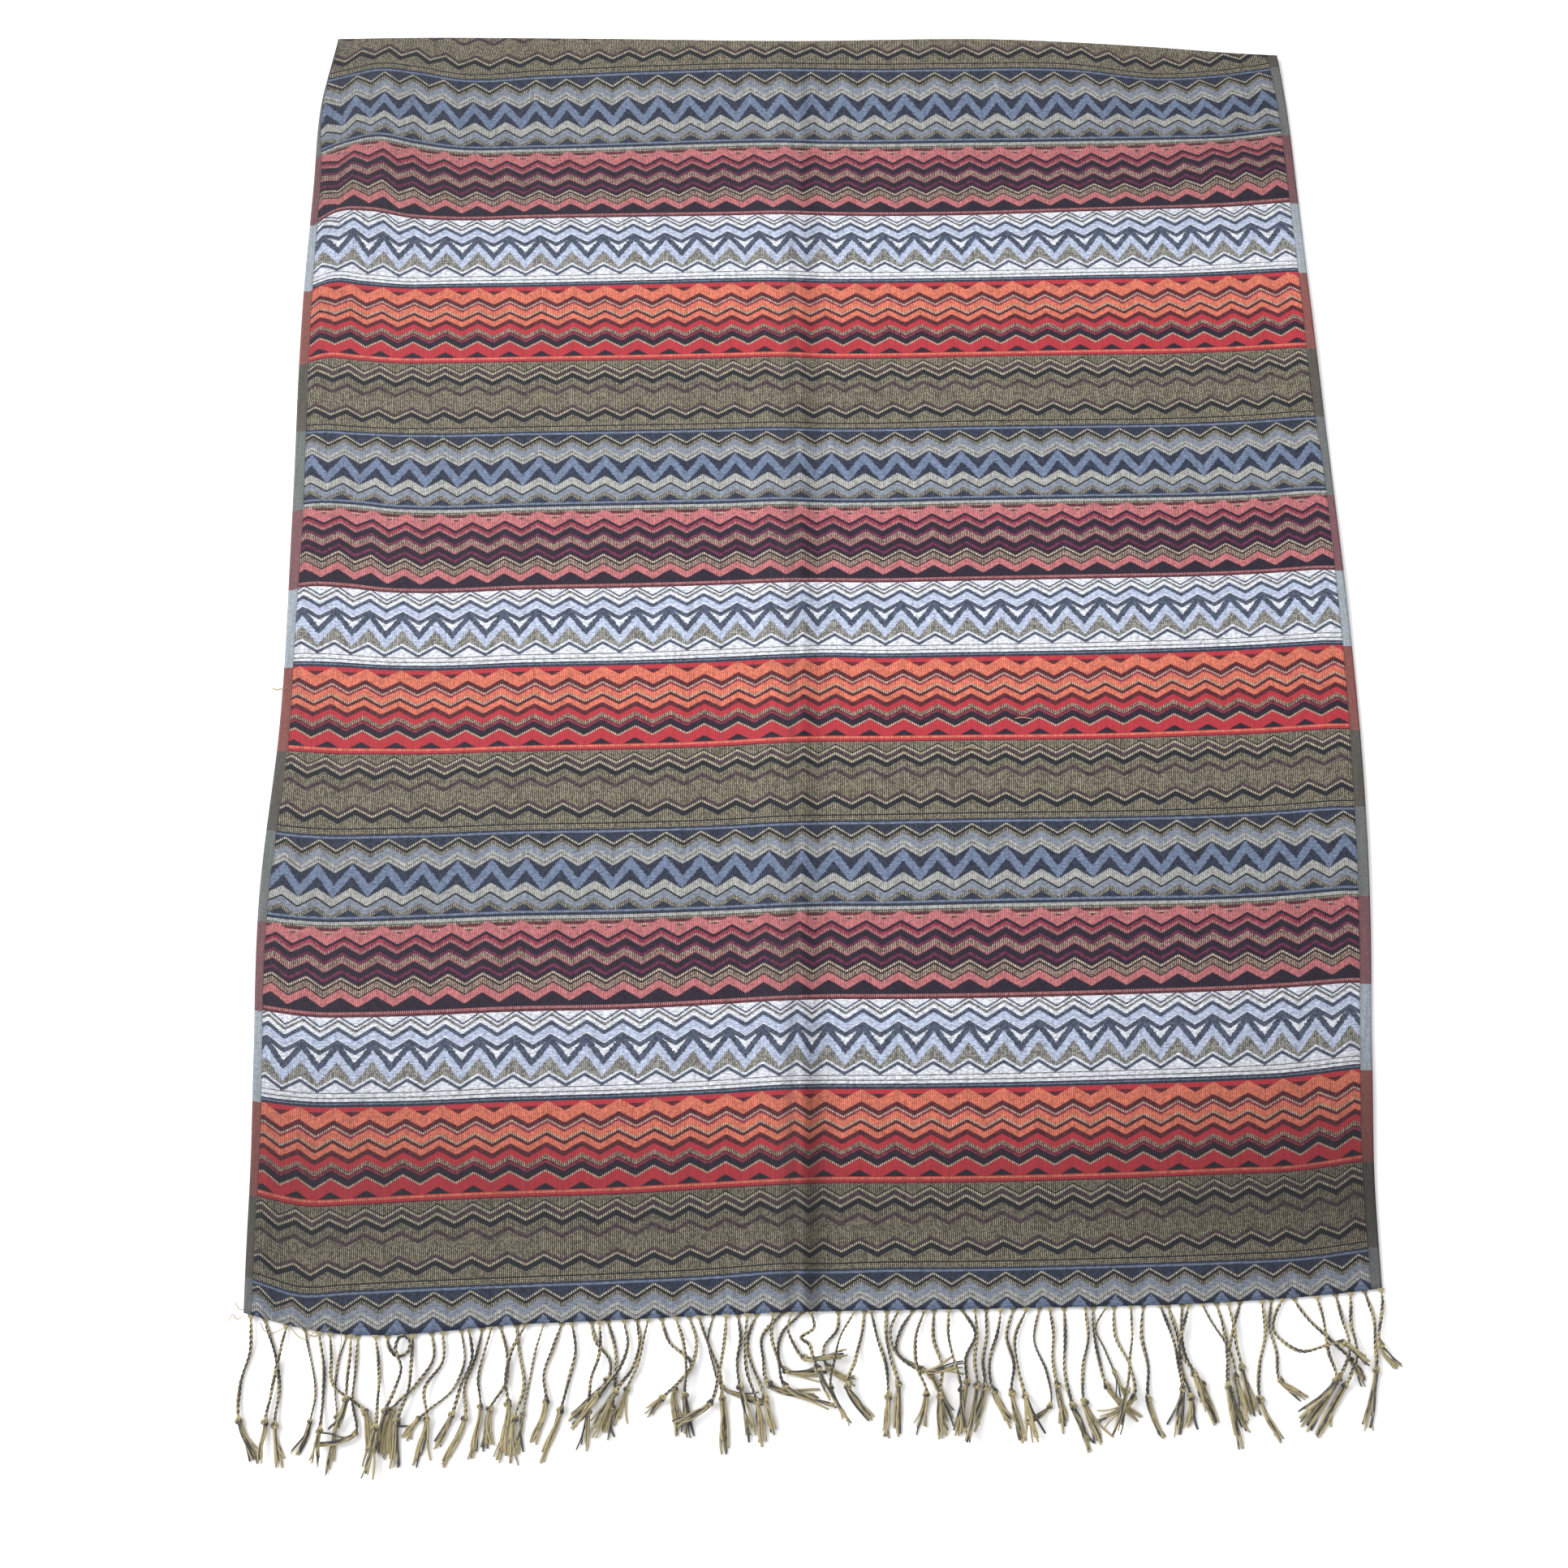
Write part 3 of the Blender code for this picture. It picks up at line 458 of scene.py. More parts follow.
# The bands of the weave, down the cloth. A zigzag row gives where a zigzag's top line crosses its peak,
# its yarn, and how it shows; a stripe row the same for a straight stripe, with no yarn where the
# zigzags show; a crown row is a stripe that shows only above the first zigzag. A bold zigzag is steeper,
# has ragged sides, and lies between two lines of the others (mm)
BANDS = (
    {
        "name": "blue", "length": 59.0, "swing": 6.8,
        "zigzags": ((-8, "navy", "plain"), (2.4, "gold", "dots"), (3.7, "ink", "plain"),
                    (5.4, "olive", "tick"), (7.8, "mist", "float"), (12.6, "cream", "ribbed"),
                    (14.6, "drab", "stitch"), (15.5, "cream", "ribbed"), (17.6, "navy", "plain"),
                    (34.1, "cream", "ribbed"), (39.4, "ink", "plain"), (40.9, "mist", "float"),
                    (45.6, "olive", "tick"), (48.4, "navy", "plain")),
        "stripes": ((0, "navy", "plain"), (0.6, "sky", "float"), (1.9, None, None),
                    (53.1, "sky", "float"), (54.6, "navy", "plain"), (56.3, "cream", "ribbed"),
                    (58.4, "olive", "tick")),
        "crown": (),
        "bold": {"swing": 14.0, "above": 17.8, "below": 34.1,
                 "lines": ((0, "navy", "plain"), (18.4, "slate", "float"), (26.3, "navy", "plain"))},
    },
    {
        "name": "plum", "length": 56.6, "swing": 6.3,
        "zigzags": ((-8, "pink", "grain"), (6.3, "aubergine", "plain"), (8.2, "crimson", "plain"),
                    (10.4, "rose", "dots"), (12.3, "aubergine", "plain"), (16.5, "magenta", "plain"),
                    (18.5, "gold", "tick"), (21.9, "rose", "dots"), (23.3, "aubergine", "plain"),
                    (27.5, "magenta", "plain"), (29.5, "aubergine", "plain"), (32.2, "gold", "dots"),
                    (33.7, "ink", "plain"), (34.9, "gold", "tick"), (38.8, "ink", "plain"),
                    (39.5, "pink", "grain"), (44.3, "aubergine", "plain")),
        "stripes": ((0, None, None), (53.5, "rose", "dots"), (55.0, "maroon", "plain")),
        "crown": ((0, "olive", "tick"), (1.4, "maroon", "plain"), (3.1, "pink", "grain"),
                  (3.8, "gold", "dots"), (4.8, "maroon", "plain")),
        "bold": None,
    },
    {
        "name": "white", "length": 54.3, "swing": 6.5,
        "zigzags": ((-8, "white", "float"), (-1.6, "steel", "plain"), (-0.4, "white", "float"),
                    (1.0, "drab", "tick"), (2.5, "white", "float"), (5.0, "steel", "plain"),
                    (7.6, "lilac", "float"), (12.0, "white", "float"), (12.9, "steel", "plain"),
                    (35.4, "white", "float"), (37.0, "steel", "plain"), (39.0, "white", "float")),
        "stripes": ((0, None, None), (45.2, "drab", "stitch"), (46.0, "white", "float"),
                    (48.3, "drab", "stitch"), (49.2, "white", "float"), (50.8, "navy", "plain"),
                    (51.9, "slate", "stitch"), (52.8, "navy", "plain")),
        "crown": (),
        "bold": {"swing": 13.4, "above": 16.1, "below": 35.4,
                 "lines": ((0, "white", "float"), (13.7, "steel", "plain"), (19.5, "lilac", "float"),
                           (26.3, "sand", "tick"))},
    },
    {
        "name": "orange", "length": 59.9, "swing": 6.2,
        "zigzags": ((-8, "coral", "grain"), (7.5, "umber", "plain"), (10.7, "gold", "dots"),
                    (12.0, "crimson", "plain"), (13.5, "coral", "grain"), (18.2, "gold", "dots"),
                    (19.5, "umber", "plain"), (21.6, "coral", "grain"), (25.6, "umber", "plain"),
                    (29.1, "red", "smooth"), (33.1, "gold", "tick"), (36.0, "umber", "plain"),
                    (36.9, "crimson", "plain"), (38.4, "aubergine", "plain"), (42.7, "gold", "dots"),
                    (44.2, "red", "smooth"), (51.2, "aubergine", "plain")),
        "stripes": ((0, None, None), (55.5, "red", "smooth"), (56.1, "coral", "grain"),
                    (57.4, "red", "smooth"), (59.0, "umber", "plain")),
        "crown": ((0, "red", "smooth"), (3.0, "umber", "plain")),
        "bold": None,
    },
    {
        "name": "olive", "length": 53.8, "swing": 6.0,
        "zigzags": ((-8, "olive", "tick"), (1.0, "ink", "plain"), (2.1, "gold", "dots"),
                    (3.7, "mauve", "plain"), (6.9, "gold", "dots"), (8.5, "ink", "plain"),
                    (11.8, "olive", "tick"), (17.0, "mauve", "plain"), (19.8, "olive", "tick"),
                    (32.8, "mauve", "plain"), (35.3, "gold", "dots"), (36.8, "ink", "plain"),
                    (40.3, "olive", "tick")),
        "stripes": ((0, None, None), (49.0, "ink", "plain"), (50.0, "olive", "tick"),
                    (53.1, "navy", "plain")),
        "crown": (),
        "bold": None,
    },
)
ZIGZAG_LOW = -8.0
REPEAT = sum(band["length"] for band in BANDS)

# Half the step between the codes of TEXTURES
HALF_CODE = 0.05

# The dyed yarns, then each band's woven edge and what lies between its dots: title, sRGB, where it is
YARN_COLOURS = (
    ("Navy", "#2B3245", "Darkest blue fields"),
    ("Ink", "#1D1F28", "Thin dark outlines"),
    ("Steel", "#485165", "Slate navy zigzags of the white band"),
    ("Slate", "#6A7892", "Bold zigzag of the blue band"),
    ("Sky", "#68748C", "Thin light-blue lines"),
    ("Mist", "#7D8491", "Grey-blue zigzags"),
    ("Cream", "#BCBDB9", "Cream zigzags and stripes"),
    ("Gold", "#CDC3A8", "Pale gold warp that dots the lines"),
    ("Drab", "#7E7E7C", "Thin greyed lines"),
    ("Sand", "#B7B4A9", "Speckled fields of the white band"),
    ("Olive", "#BFB59A", "Speckled olive band"),
    ("Pink", "#BD606C", "Salmon pink zigzags"),
    ("Rose", "#B97F7C", "Light pink lines"),
    ("Crimson", "#8C3046", "Crimson lines"),
    ("Magenta", "#662544", "Magenta lines"),
    ("Aubergine", "#23172A", "Darkest plum fields"),
    ("Maroon", "#572A34", "Dark red lines"),
    ("Coral", "#DF6851", "Coral zigzags"),
    ("Red", "#B02F3B", "Red zigzags"),
    ("Umber", "#561D29", "Dark plum brown lines"),
    ("Mauve", "#483A3F", "Mauve brown zigzags"),
    ("White", "#D7DAE2", "White fields"),
    ("Lilac", "#B1BBD3", "Pale lavender zigzags"),
    ("Blue edge", "#757879", "Woven edge beside the blue band"),
    ("Plum edge", "#7E575C", "Woven edge beside the plum band"),
    ("White edge", "#A7B0B9", "Woven edge beside the white band"),
    ("Orange edge", "#905752", "Woven edge beside the orange band"),
    ("Olive edge", "#5E5A55", "Woven edge beside the olive band"),
    ("Blue ground", "#323742", "Between the dots of the blue band"),
    ("Plum ground", "#5B2438", "Between the dots of the plum band"),
    ("White ground", "#767674", "Between the dots of the white band"),
    ("Orange ground", "#661F29", "Between the dots of the orange band"),
    ("Olive ground", "#33302D", "Between the dots of the olive band"),
)

# Tones are as the eye sees them; the light that a cloth gives back follows this power of them
EYE_POWER = 2.2

# Spacing of the weft floats, of the dots along a rib and of the grains (mm)
FLOAT_ROW = 0.9
TICK_ROW = 1.25
GRAIN_ROW = 0.85

# How far the ends of a bold zigzag's floats are scattered (mm)
FLOAT_RAGGED = 0.9

# How much of the pale thread a grain shows, and how pointed a grain is
GRAIN_PALE = 0.74
GRAIN_POINT = 1.6

# Cells of noise to a millimetre, across and down: streaks of the weft floats, and long soft wear
STREAK_CELLS = (0.28, 1.15, 1)
WEAR_CELLS = (0.5, 0.03, 1)

# Cells of noise to a metre along a yarn and to a turn round it, and how far the fibres lean (radians)
FIBRE_CELLS = (260, 5, 1)
FIBRE_LEAN = 0.5
LOOSE_FIBRE_CELLS = (400, 4, 1)


def linear(hex_colour):
    """An sRGB hex colour as the linear RGB that the shaders take."""
    shares = [int(hex_colour[i:i + 2], 16) / 255 for i in (1, 3, 5)]
    return tuple(c / 12.92 if c <= 0.04045 else ((c + 0.055) / 1.055) ** 2.4 for c in shares)


def colour_property(name, hex_colour, description):
    """A colour that a user may change."""
    return bpy.props.FloatVectorProperty(name=name, description=description, subtype="COLOR", size=3,
                                         min=0, max=1, default=linear(hex_colour))


def size_property(name, metres, description):
    """A length that a user may change."""
    return bpy.props.FloatProperty(name=name, description=description, default=metres, min=0, precision=4,
                                   subtype="DISTANCE", unit="LENGTH")


class ShawlCloth(bpy.types.PropertyGroup):
    """Sizes of the woven cloth."""
    width: size_property("Width", 0.710, "Width of the flat cloth between its edges")
    length: size_property("Half length", 0.912, "Length of each half, from hem to fold")
    wall: size_property("Thickness", 1.2 * MM, "Thickness of one layer")
    margin: size_property("Margin", 7.5 * MM, "From the edge of the cloth to the first peak of the zigzags")
    rib: size_property("Rib", 1.238 * MM, "Spacing of the lengthwise ribs")
    zigzags: bpy.props.FloatProperty(name="Zigzags", description="Zigzags between the two margins",
                                     default=31.2, min=1)
    across: bpy.props.IntProperty(name="Columns", description="Points of the mesh across the cloth",
                                  default=180, min=20)
    along: bpy.props.IntProperty(name="Rows", description="Points of the mesh along the cloth",
                                 default=230, min=20)


class ShawlYarns(bpy.types.PropertyGroup):
    """Colours of the dyed yarns."""
    __annotations__ = {title.lower().replace(" ", "_"): colour_property(title, hex_colour, where)
                       for title, hex_colour, where in YARN_COLOURS}


class ShawlFringe(bpy.types.PropertyGroup):
    """Sizes and colours of the twisted fringe."""
    ply_turn: size_property("Turn", 6.0 * MM, "Length of one turn of the two plies")
    patch: size_property("Patch", 6.7 * MM, "Length over which gold and dark take turns")
    yarn: size_property("Yarn", 0.58 * MM, "Radius of a tassel's yarn bundles")
    yarns: bpy.props.IntProperty(name="Tassel yarns", description="Yarn bundles in a tassel", default=7,
                                 min=3)
    gold: colour_property("Gold", "#998D69", "Gold yarn of the warp")
    dark: colour_property("Dark", "#323339", "Dark yarn of the warp")
    tan: colour_property("Tan", "#B59E77", "Loose undyed yarn ends")


class ShawlStage(bpy.types.PropertyGroup):
    """Light and floor."""
    floor: colour_property("Floor", "#F7F7F8", "Plain pale floor")
    sky: bpy.props.FloatProperty(name="Room light", description="Even light from all round",
                                 default=0.92, min=0)
    lamp: bpy.props.FloatProperty(name="Lamp", description="Strength of the soft lamp", default=595, min=0)


def node(tree, kind, inputs=(), **settings):
    """Adds a node with its settings and links. Inputs, in order or by socket, are each a value, an output,
    or a node whose first output feeds the socket."""
    made = tree.nodes.new("ShaderNode" + kind)
    for setting, value in settings.items():
        setattr(made, setting, value)
    for socket, value in inputs.items() if isinstance(inputs, dict) else enumerate(inputs):
        if isinstance(value, bpy.types.Node):
            value = value.outputs[0]
        if isinstance(value, bpy.types.NodeSocket):
            tree.links.new(value, made.inputs[socket])
        else:
            made.inputs[socket].default_value = value
    return made


def new_material(name, roughness, sheen):
    """A node material with plain cloth settings on its own shader."""
    made = bpy.data.materials.new(name)
    made.use_nodes = True
    shader = made.node_tree.nodes["Principled BSDF"]
    shader.inputs["Roughness"].default_value = roughness
    shader.inputs["Specular IOR Level"].default_value = 0.3
    shader.inputs["Sheen Weight"].default_value = sheen
    shader.inputs["Sheen Roughness"].default_value = 0.45
    return made, made.node_tree, shader


def give_surface(tree, shader, colour, relief=None, strength=0, depth=0):
    """Feeds a shader its mixed colour, and its relief where it has one."""
    tree.links.new(colour.outputs[2], shader.inputs["Base Color"])
    if relief is not None:
        bump = node(tree, "Bump", {"Strength": strength, "Distance": depth, "Height": relief})
        tree.links.new(bump.outputs[0], shader.inputs["Normal"])


def fill_ramp(ramp, stops):
    """Writes hard-edged stops (position, linear colour, alpha) into a colour ramp."""
    ramp.interpolation = "CONSTANT"
    while len(ramp.elements) > 1:
        ramp.elements.remove(ramp.elements[-1])
    for i, (position, colour, alpha) in enumerate(stops):
        place = min(max(position, 0.0), 1.0)
        element = ramp.elements[0] if i == 0 else ramp.elements.new(place)
        element.position = place
        element.color = (*colour, alpha)


def chosen(tree, share, below, above):
    """A colour and its numbers, share 0 or 1 of the way from one set to the other."""
    colour = node(tree, "Mix", {0: share, 6: below[0], 7: above[0]}, data_type="RGBA").outputs[2]
    numbers = [node(tree, "Mix", {0: share, 2: low, 3: high}).outputs[0]
               for low, high in zip(below[1:], above[1:])]
    return (colour, *numbers)


def chart_rows(tree, rows, low, length, place, yarns):
    """Rows of the chart as a ramp over place, from low to length; alpha keeps how each yarn shows."""
    share = node(tree, "MapRange", {"Value": place, "From Min": low, "From Max": length})
    made = node(tree, "ValToRGB", {"Fac": share})
    fill_ramp(made.color_ramp, [((top - low) / (length - low), getattr(yarns, yarn or "ink"),
                                 TEXTURES[shows][0] if yarn else 0) for top, yarn, shows in rows])
    return made.outputs["Color"], made.outputs["Alpha"]


def woven_band(tree, band, down, swing_share, float_down, float_share, yarns):
    """One band of the weave. A zigzag's distance down is the distance down the band, less the swing times
    how far across the zigzag is from its peak. Returns the colour, how it shows, and that distance."""
    length = band["length"]
    zig = node(tree, "Math", (swing_share, -band["swing"], down), operation="MULTIPLY_ADD")
    found = (*chart_rows(tree, band["zigzags"], ZIGZAG_LOW, length, zig, yarns), zig)
    if band["bold"]:
        bold = band["bold"]
        steep = node(tree, "Math", (float_share, -bold["swing"], float_down), operation="MULTIPLY_ADD")
        lines = (*chart_rows(tree, bold["lines"], 0, length, steep, yarns), down)
        past = node(tree, "Math", (zig, bold["above"]), operation="GREATER_THAN")
        short = node(tree, "Math", (zig, bold["below"]), operation="LESS_THAN")
        found = chosen(tree, node(tree, "Math", (past, short), operation="MULTIPLY"), found, lines)
    if band["crown"]:
        crown = (*chart_rows(tree, band["crown"], 0, length, down, yarns), down)
        found = chosen(tree, node(tree, "Math", (zig, 0.0), operation="LESS_THAN"), found, crown)
    stripes = (*chart_rows(tree, band["stripes"], 0, length, down, yarns), down)
    striped = node(tree, "Math", (stripes[1], HALF_CODE), operation="GREATER_THAN")
    return chosen(tree, striped, found, stripes)


def by_band(tree, down_share, yarns, suffix):
    """A colour for each band, over the share of the repeat."""
    made = node(tree, "ValToRGB", {"Fac": down_share})
    starts = np.concatenate(((0,), np.cumsum([band["length"] for band in BANDS[:-1]])))
    fill_ramp(made.color_ramp, [(start / REPEAT, getattr(yarns, band["name"] + suffix), 1)
                                for start, band in zip(starts, BANDS)])
    return made.outputs["Color"]


def texture_strengths(tree, kind):
    """Reads the table of textures for a kind: two ramps with three strengths each."""
    found = []
    for first in (1, 4):
        made = node(tree, "ValToRGB", {"Fac": kind})
        fill_ramp(made.color_ramp, [(row[0] - HALF_CODE, row[first:first + 3], 1)
                                    for row in TEXTURES.values()])
        parts = node(tree, "SeparateColor", (made,))
        found.extend(parts.outputs[:3])
    return found


def bumps(tree, place, pitch):
    """Rises from 0 to 1 and back once in each pitch."""
    swing = node(tree, "Math", (place, pitch / 2), operation="PINGPONG")
    return node(tree, "Math", (swing, pitch / 2), operation="DIVIDE")


def cell_number(tree, place, pitch):
    """How many whole pitches lie before a place."""
    return node(tree, "Math", (node(tree, "Math", (place, pitch), operation="DIVIDE"),), operation="FLOOR")


def short_of_one(tree, share, depth):
    """What a share lacks to one, times a depth."""
    lack = node(tree, "Math", (1.0, share), operation="SUBTRACT")
    return node(tree, "Math", (lack, depth), operation="MULTIPLY")


def jacquard_cloth(cloth, yarns):
    """Jacquard cloth of fine dyed viscose, woven with a gold and dark warp.

    To the eye: hard-edged zigzags in stair steps one rib wide, lines dotted where the gold warp comes up
    between the ribs, streaked weft floats, fine ribs along the cloth, a plain woven edge with fine cross
    ribs, and the soft sheen of viscose.
    """
    made, tree, shader = new_material("jacquard_viscose", 0.7, 0.05)
    place = node(tree, "UVMap", uv_map="threads")
    scaled = node(tree, "Mapping", {"Vector": place, "Scale": (1 / MM, 1 / MM, 1)})
    axes = node(tree, "SeparateXYZ", (scaled,))
    margin, rib = cloth.margin / MM, cloth.rib / MM
    pitch = (cloth.width / MM - 2 * margin) / cloth.zigzags
    across = node(tree, "Math", (axes.outputs["X"], margin), operation="SUBTRACT")
    down = node(tree, "Math", (axes.outputs["Y"], REPEAT), operation="FLOORED_MODULO")
    rib_index = cell_number(tree, across, rib)
    rib_middle = node(tree, "Math", (rib_index, rib, rib / 2), operation="MULTIPLY_ADD")
    swing_share = bumps(tree, rib_middle, pitch)
    float_row = cell_number(tree, down, FLOAT_ROW)
    # A float ends where its row happens to end, so a bold zigzag's sides are ragged
    float_cell = node(tree, "CombineXYZ", (cell_number(tree, across, pitch / 2), float_row))
    float_end = node(tree, "TexWhiteNoise", {"Vector": float_cell}, noise_dimensions="2D")
    shifted = node(tree, "Math", (across, FLOAT_RAGGED / 2), operation="SUBTRACT")
    float_across = node(tree, "Math", (float_end, FLOAT_RAGGED, shifted), operation="MULTIPLY_ADD")
    float_share = bumps(tree, float_across, pitch)
    float_down = node(tree, "Math", (float_row, FLOAT_ROW, FLOAT_ROW / 2), operation="MULTIPLY_ADD")
    found, start = None, 0.0
    for band in BANDS:
        here = node(tree, "Math", (down, start), operation="SUBTRACT")
        float_here = node(tree, "Math", (float_down, start), operation="SUBTRACT")
        band_found = woven_band(tree, band, here, swing_share, float_here, float_share, yarns)
        begun = node(tree, "Math", (here, 0.0), operation="GREATER_THAN")
        found = band_found if found is None else chosen(tree, begun, found, band_found)
        start += band["length"]
    down_share = node(tree, "Math", (down, REPEAT), operation="DIVIDE")
    into_edge = node(tree, "Attribute", attribute_name="into_edge").outputs["Fac"]
    edge = (by_band(tree, down_share, yarns, "_edge"), TEXTURES["edge"][0], down)
    in_edge = node(tree, "Math", (into_edge, 0.0), operation="GREATER_THAN")
    colour, kind, row_place = chosen(tree, in_edge, found, edge)
    gap_depth, cell_depth, streak_depth, grain, dotted, row_depth = texture_strengths(tree, kind)
    rib_swell = bumps(tree, across, rib)
    row_swell = bumps(tree, row_place, TICK_ROW)
    cell = node(tree, "CombineXYZ", (rib_index, cell_number(tree, row_place, TICK_ROW)))
    chance = node(tree, "TexWhiteNoise", {"Vector": cell}, noise_dimensions="2D")
    off_even = node(tree, "Math", (chance, 0.5), operation="SUBTRACT")
    # Dots of the gold warp over the ground of the band
    row_low = node(tree, "Math", (row_swell, 1.0), operation="SUBTRACT")
    round_dot = node(tree, "Math", (row_low, row_depth, rib_swell), operation="MULTIPLY_ADD")
    dot = node(tree, "MapRange", {"Value": round_dot, "From Min": 0.15, "From Max": 0.9},
               interpolation_type="SMOOTHSTEP")
    bare = short_of_one(tree, dot, dotted)
    colour = node(tree, "Mix", {0: bare, 6: colour, 7: by_band(tree, down_share, yarns, "_ground")},
                  data_type="RGBA").outputs[2]
    # Pale grains of a lighter thread, a column in each rib, set half a row on from rib to rib
    odd = node(tree, "Math", (rib_index, GRAIN_ROW / 2, down), operation="MULTIPLY_ADD")
    grain_dot = node(tree, "Math", (bumps(tree, odd, GRAIN_ROW), rib_swell), operation="MULTIPLY")
    paler = node(tree, "Mix", {0: GRAIN_PALE, 6: colour, 7: (*yarns.gold, 1)}, data_type="RGBA").outputs[2]
    pointed = node(tree, "Math", (grain_dot, GRAIN_POINT), operation="POWER")
    grain_share = node(tree, "Math", (pointed, grain), operation="MULTIPLY")
    colour = node(tree, "Mix", {0: grain_share, 6: colour, 7: paler}, data_type="RGBA").outputs[2]
    # Light and dark of the ribs, the cells, the streaked floats and long soft wear
    sunk = short_of_one(tree, rib_swell, gap_depth)
    row_gap = short_of_one(tree, row_swell, row_depth)
    low = node(tree, "Math", (row_gap, 0.45, sunk), operation="MULTIPLY_ADD")
    streak_place = node(tree, "Mapping", {"Vector": scaled, "Scale": STREAK_CELLS})
    streak = node(tree, "TexNoise", {"Vector": streak_place, "Scale": 1.0, "Detail": 2.0},
                  noise_dimensions="2D")
    off_streak = node(tree, "Math", (streak, 0.5), operation="SUBTRACT")
    streaks = node(tree, "Math", (off_streak, streak_depth), operation="MULTIPLY")
    shade = node(tree, "Math", (1.0, low), operation="SUBTRACT")
    shade = node(tree, "Math", (off_even, cell_depth, shade), operation="MULTIPLY_ADD")
    shade = node(tree, "Math", (shade, streaks), operation="ADD")
    wear_place = node(tree, "Mapping", {"Vector": scaled, "Scale": WEAR_CELLS})
    wear = node(tree, "TexNoise", {"Vector": wear_place, "Scale": 1.0, "Detail": 4.0},
                noise_dimensions="2D")
    worn = node(tree, "MapRange", {"Value": wear, "From Min": 0.3, "From Max": 0.7,
                                   "To Min": 0.90, "To Max": 1.10})
    shade = node(tree, "Math", (shade, worn), operation="MULTIPLY")
    # Darker along the line where the woven edge begins
    from_edge_line = node(tree, "Math", (into_edge,), operation="ABSOLUTE")
    edge_line = node(tree, "MapRange", {"Value": from_edge_line, "From Min": 0.3, "From Max": 0.9,
                                     "To Min": 0.72, "To Max": 1.0})
    shade = node(tree, "Math", (shade, edge_line), operation="MULTIPLY")
    # The tone attribute holds the dyed tone with painted shade of the light's falloff, and the painted
    # shade beside the crease
    tone = node(tree, "Attribute", attribute_name="tone").outputs["Fac"]
    shade = node(tree, "Math", (shade, tone), operation="MULTIPLY")
    shade_colour = node(tree, "CombineColor", (shade, shade, shade))
    final = node(tree, "Mix", {0: 1.0, 6: colour, 7: shade_colour}, data_type="RGBA",
                 blend_type="MULTIPLY")
    height = node(tree, "Math", (row_gap, -0.5, rib_swell), operation="MULTIPLY_ADD")
    give_surface(tree, shader, final, height, 0.45, 0.14 * MM)
    return made


def fringe_yarn(name, fringe, roughness):
    """Fine viscose warp yarns, gold and dark, twisted by hand.

    To the eye: each yarn is gold or dark by its own share, with fine streaks of fibre that run round
    the twist, and a soft sheen. It reads the yarn's own share from the mesh.
    """
    made, tree, shader = new_material(name, roughness, 0.2)
    share = node(tree, "Attribute", attribute_name="dark_share")
    place = node(tree, "UVMap", uv_map="fibres")
    # Fibres are drawn 0.4 to 0.8 mm apart, coarser than real, so that they show
    streaks = node(tree, "Mapping", {"Vector": place, "Scale": FIBRE_CELLS, "Rotation": (0, 0, FIBRE_LEAN)})
    fibre = node(tree, "TexNoise", {"Vector": streaks, "Scale": 1.0, "Detail": 2.0},
                 noise_dimensions="2D")
    mixed = node(tree, "Math", (fibre, 1.5, -0.75), operation="MULTIPLY_ADD")
    how_dark = node(tree, "Math", (share.outputs["Fac"], mixed), operation="ADD", use_clamp=True)
    split = node(tree, "MapRange", {"Value": how_dark, "From Min": 0.15, "From Max": 0.85},
                 interpolation_type="SMOOTHSTEP")
    colour = node(tree, "Mix", {0: split, 6: (*fringe.gold, 1), 7: (*fringe.dark, 1)},
                  data_type="RGBA")
    give_surface(tree, shader, colour, fibre, 0.5, 0.2 * MM)
    return made


def loose_yarn(fringe):
    """Undyed cotton ends: pale tan, matt, with fine fibre streaks."""
    made, tree, shader = new_material("loose_cotton_yarn", 0.8, 0.1)
    place = node(tree, "UVMap", uv_map="fibres")
    streaks = node(tree, "Mapping", {"Vector": place, "Scale": LOOSE_FIBRE_CELLS})
    fibre = node(tree, "TexNoise", {"Vector": streaks, "Scale": 1.0}, noise_dimensions="2D")
    pale, deep = fringe.tan, [0.6 * c for c in fringe.tan]
    colour = node(tree, "Mix", {0: fibre, 6: (*pale, 1), 7: (*deep, 1)}, data_type="RGBA")
    give_surface(tree, shader, colour)
    return made


def pale_floor(stage):
    """Matt seamless paper: plain, pale, with a faint fine mottle."""
    made, tree, shader = new_material("matt_backdrop_paper", 0.9, 0)
    place = node(tree, "TexCoord").outputs["Object"]
    mottle = node(tree, "TexNoise", {"Vector": place, "Scale": 30.0})
    darker = [0.985 * c for c in stage.floor]
    colour = node(tree, "Mix", {0: mottle, 6: (*stage.floor, 1), 7: (*darker, 1)},
                  data_type="RGBA")
    give_surface(tree, shader, colour)
    return made


def column(rows, index):
    """One column of a table in millimetres, as metres."""
    return np.array([row[index] for row in rows]) * MM


def soft_curve(knots, values, at):
    """A smooth curve through values at the knots: cubic, with the slopes of a Catmull-Rom."""
    slopes = np.gradient(values, knots)
    at = np.clip(at, knots[0], knots[-1])
    i = np.clip(np.searchsorted(knots, at) - 1, 0, len(knots) - 2)
    span = knots[i + 1] - knots[i]
    t = (at - knots[i]) / span
    return ((2 * t ** 3 - 3 * t ** 2 + 1) * values[i] + (t ** 3 - 2 * t ** 2 + t) * span * slopes[i]
            + (3 * t ** 2 - 2 * t ** 3) * values[i + 1] + (t ** 3 - t ** 2) * span * slopes[i + 1])


def soft_table(rows, index, at):
    """A table's column as a smooth curve of its first column."""
    return soft_curve(column(rows, 0), column(rows, index), at)


def smooth_step(value):
    """Rises from 0 to 1 as value does, level at both ends: 3 v^2 - 2 v^3."""
    value = np.clip(value, 0, 1)
    return value * value * (3 - 2 * value)


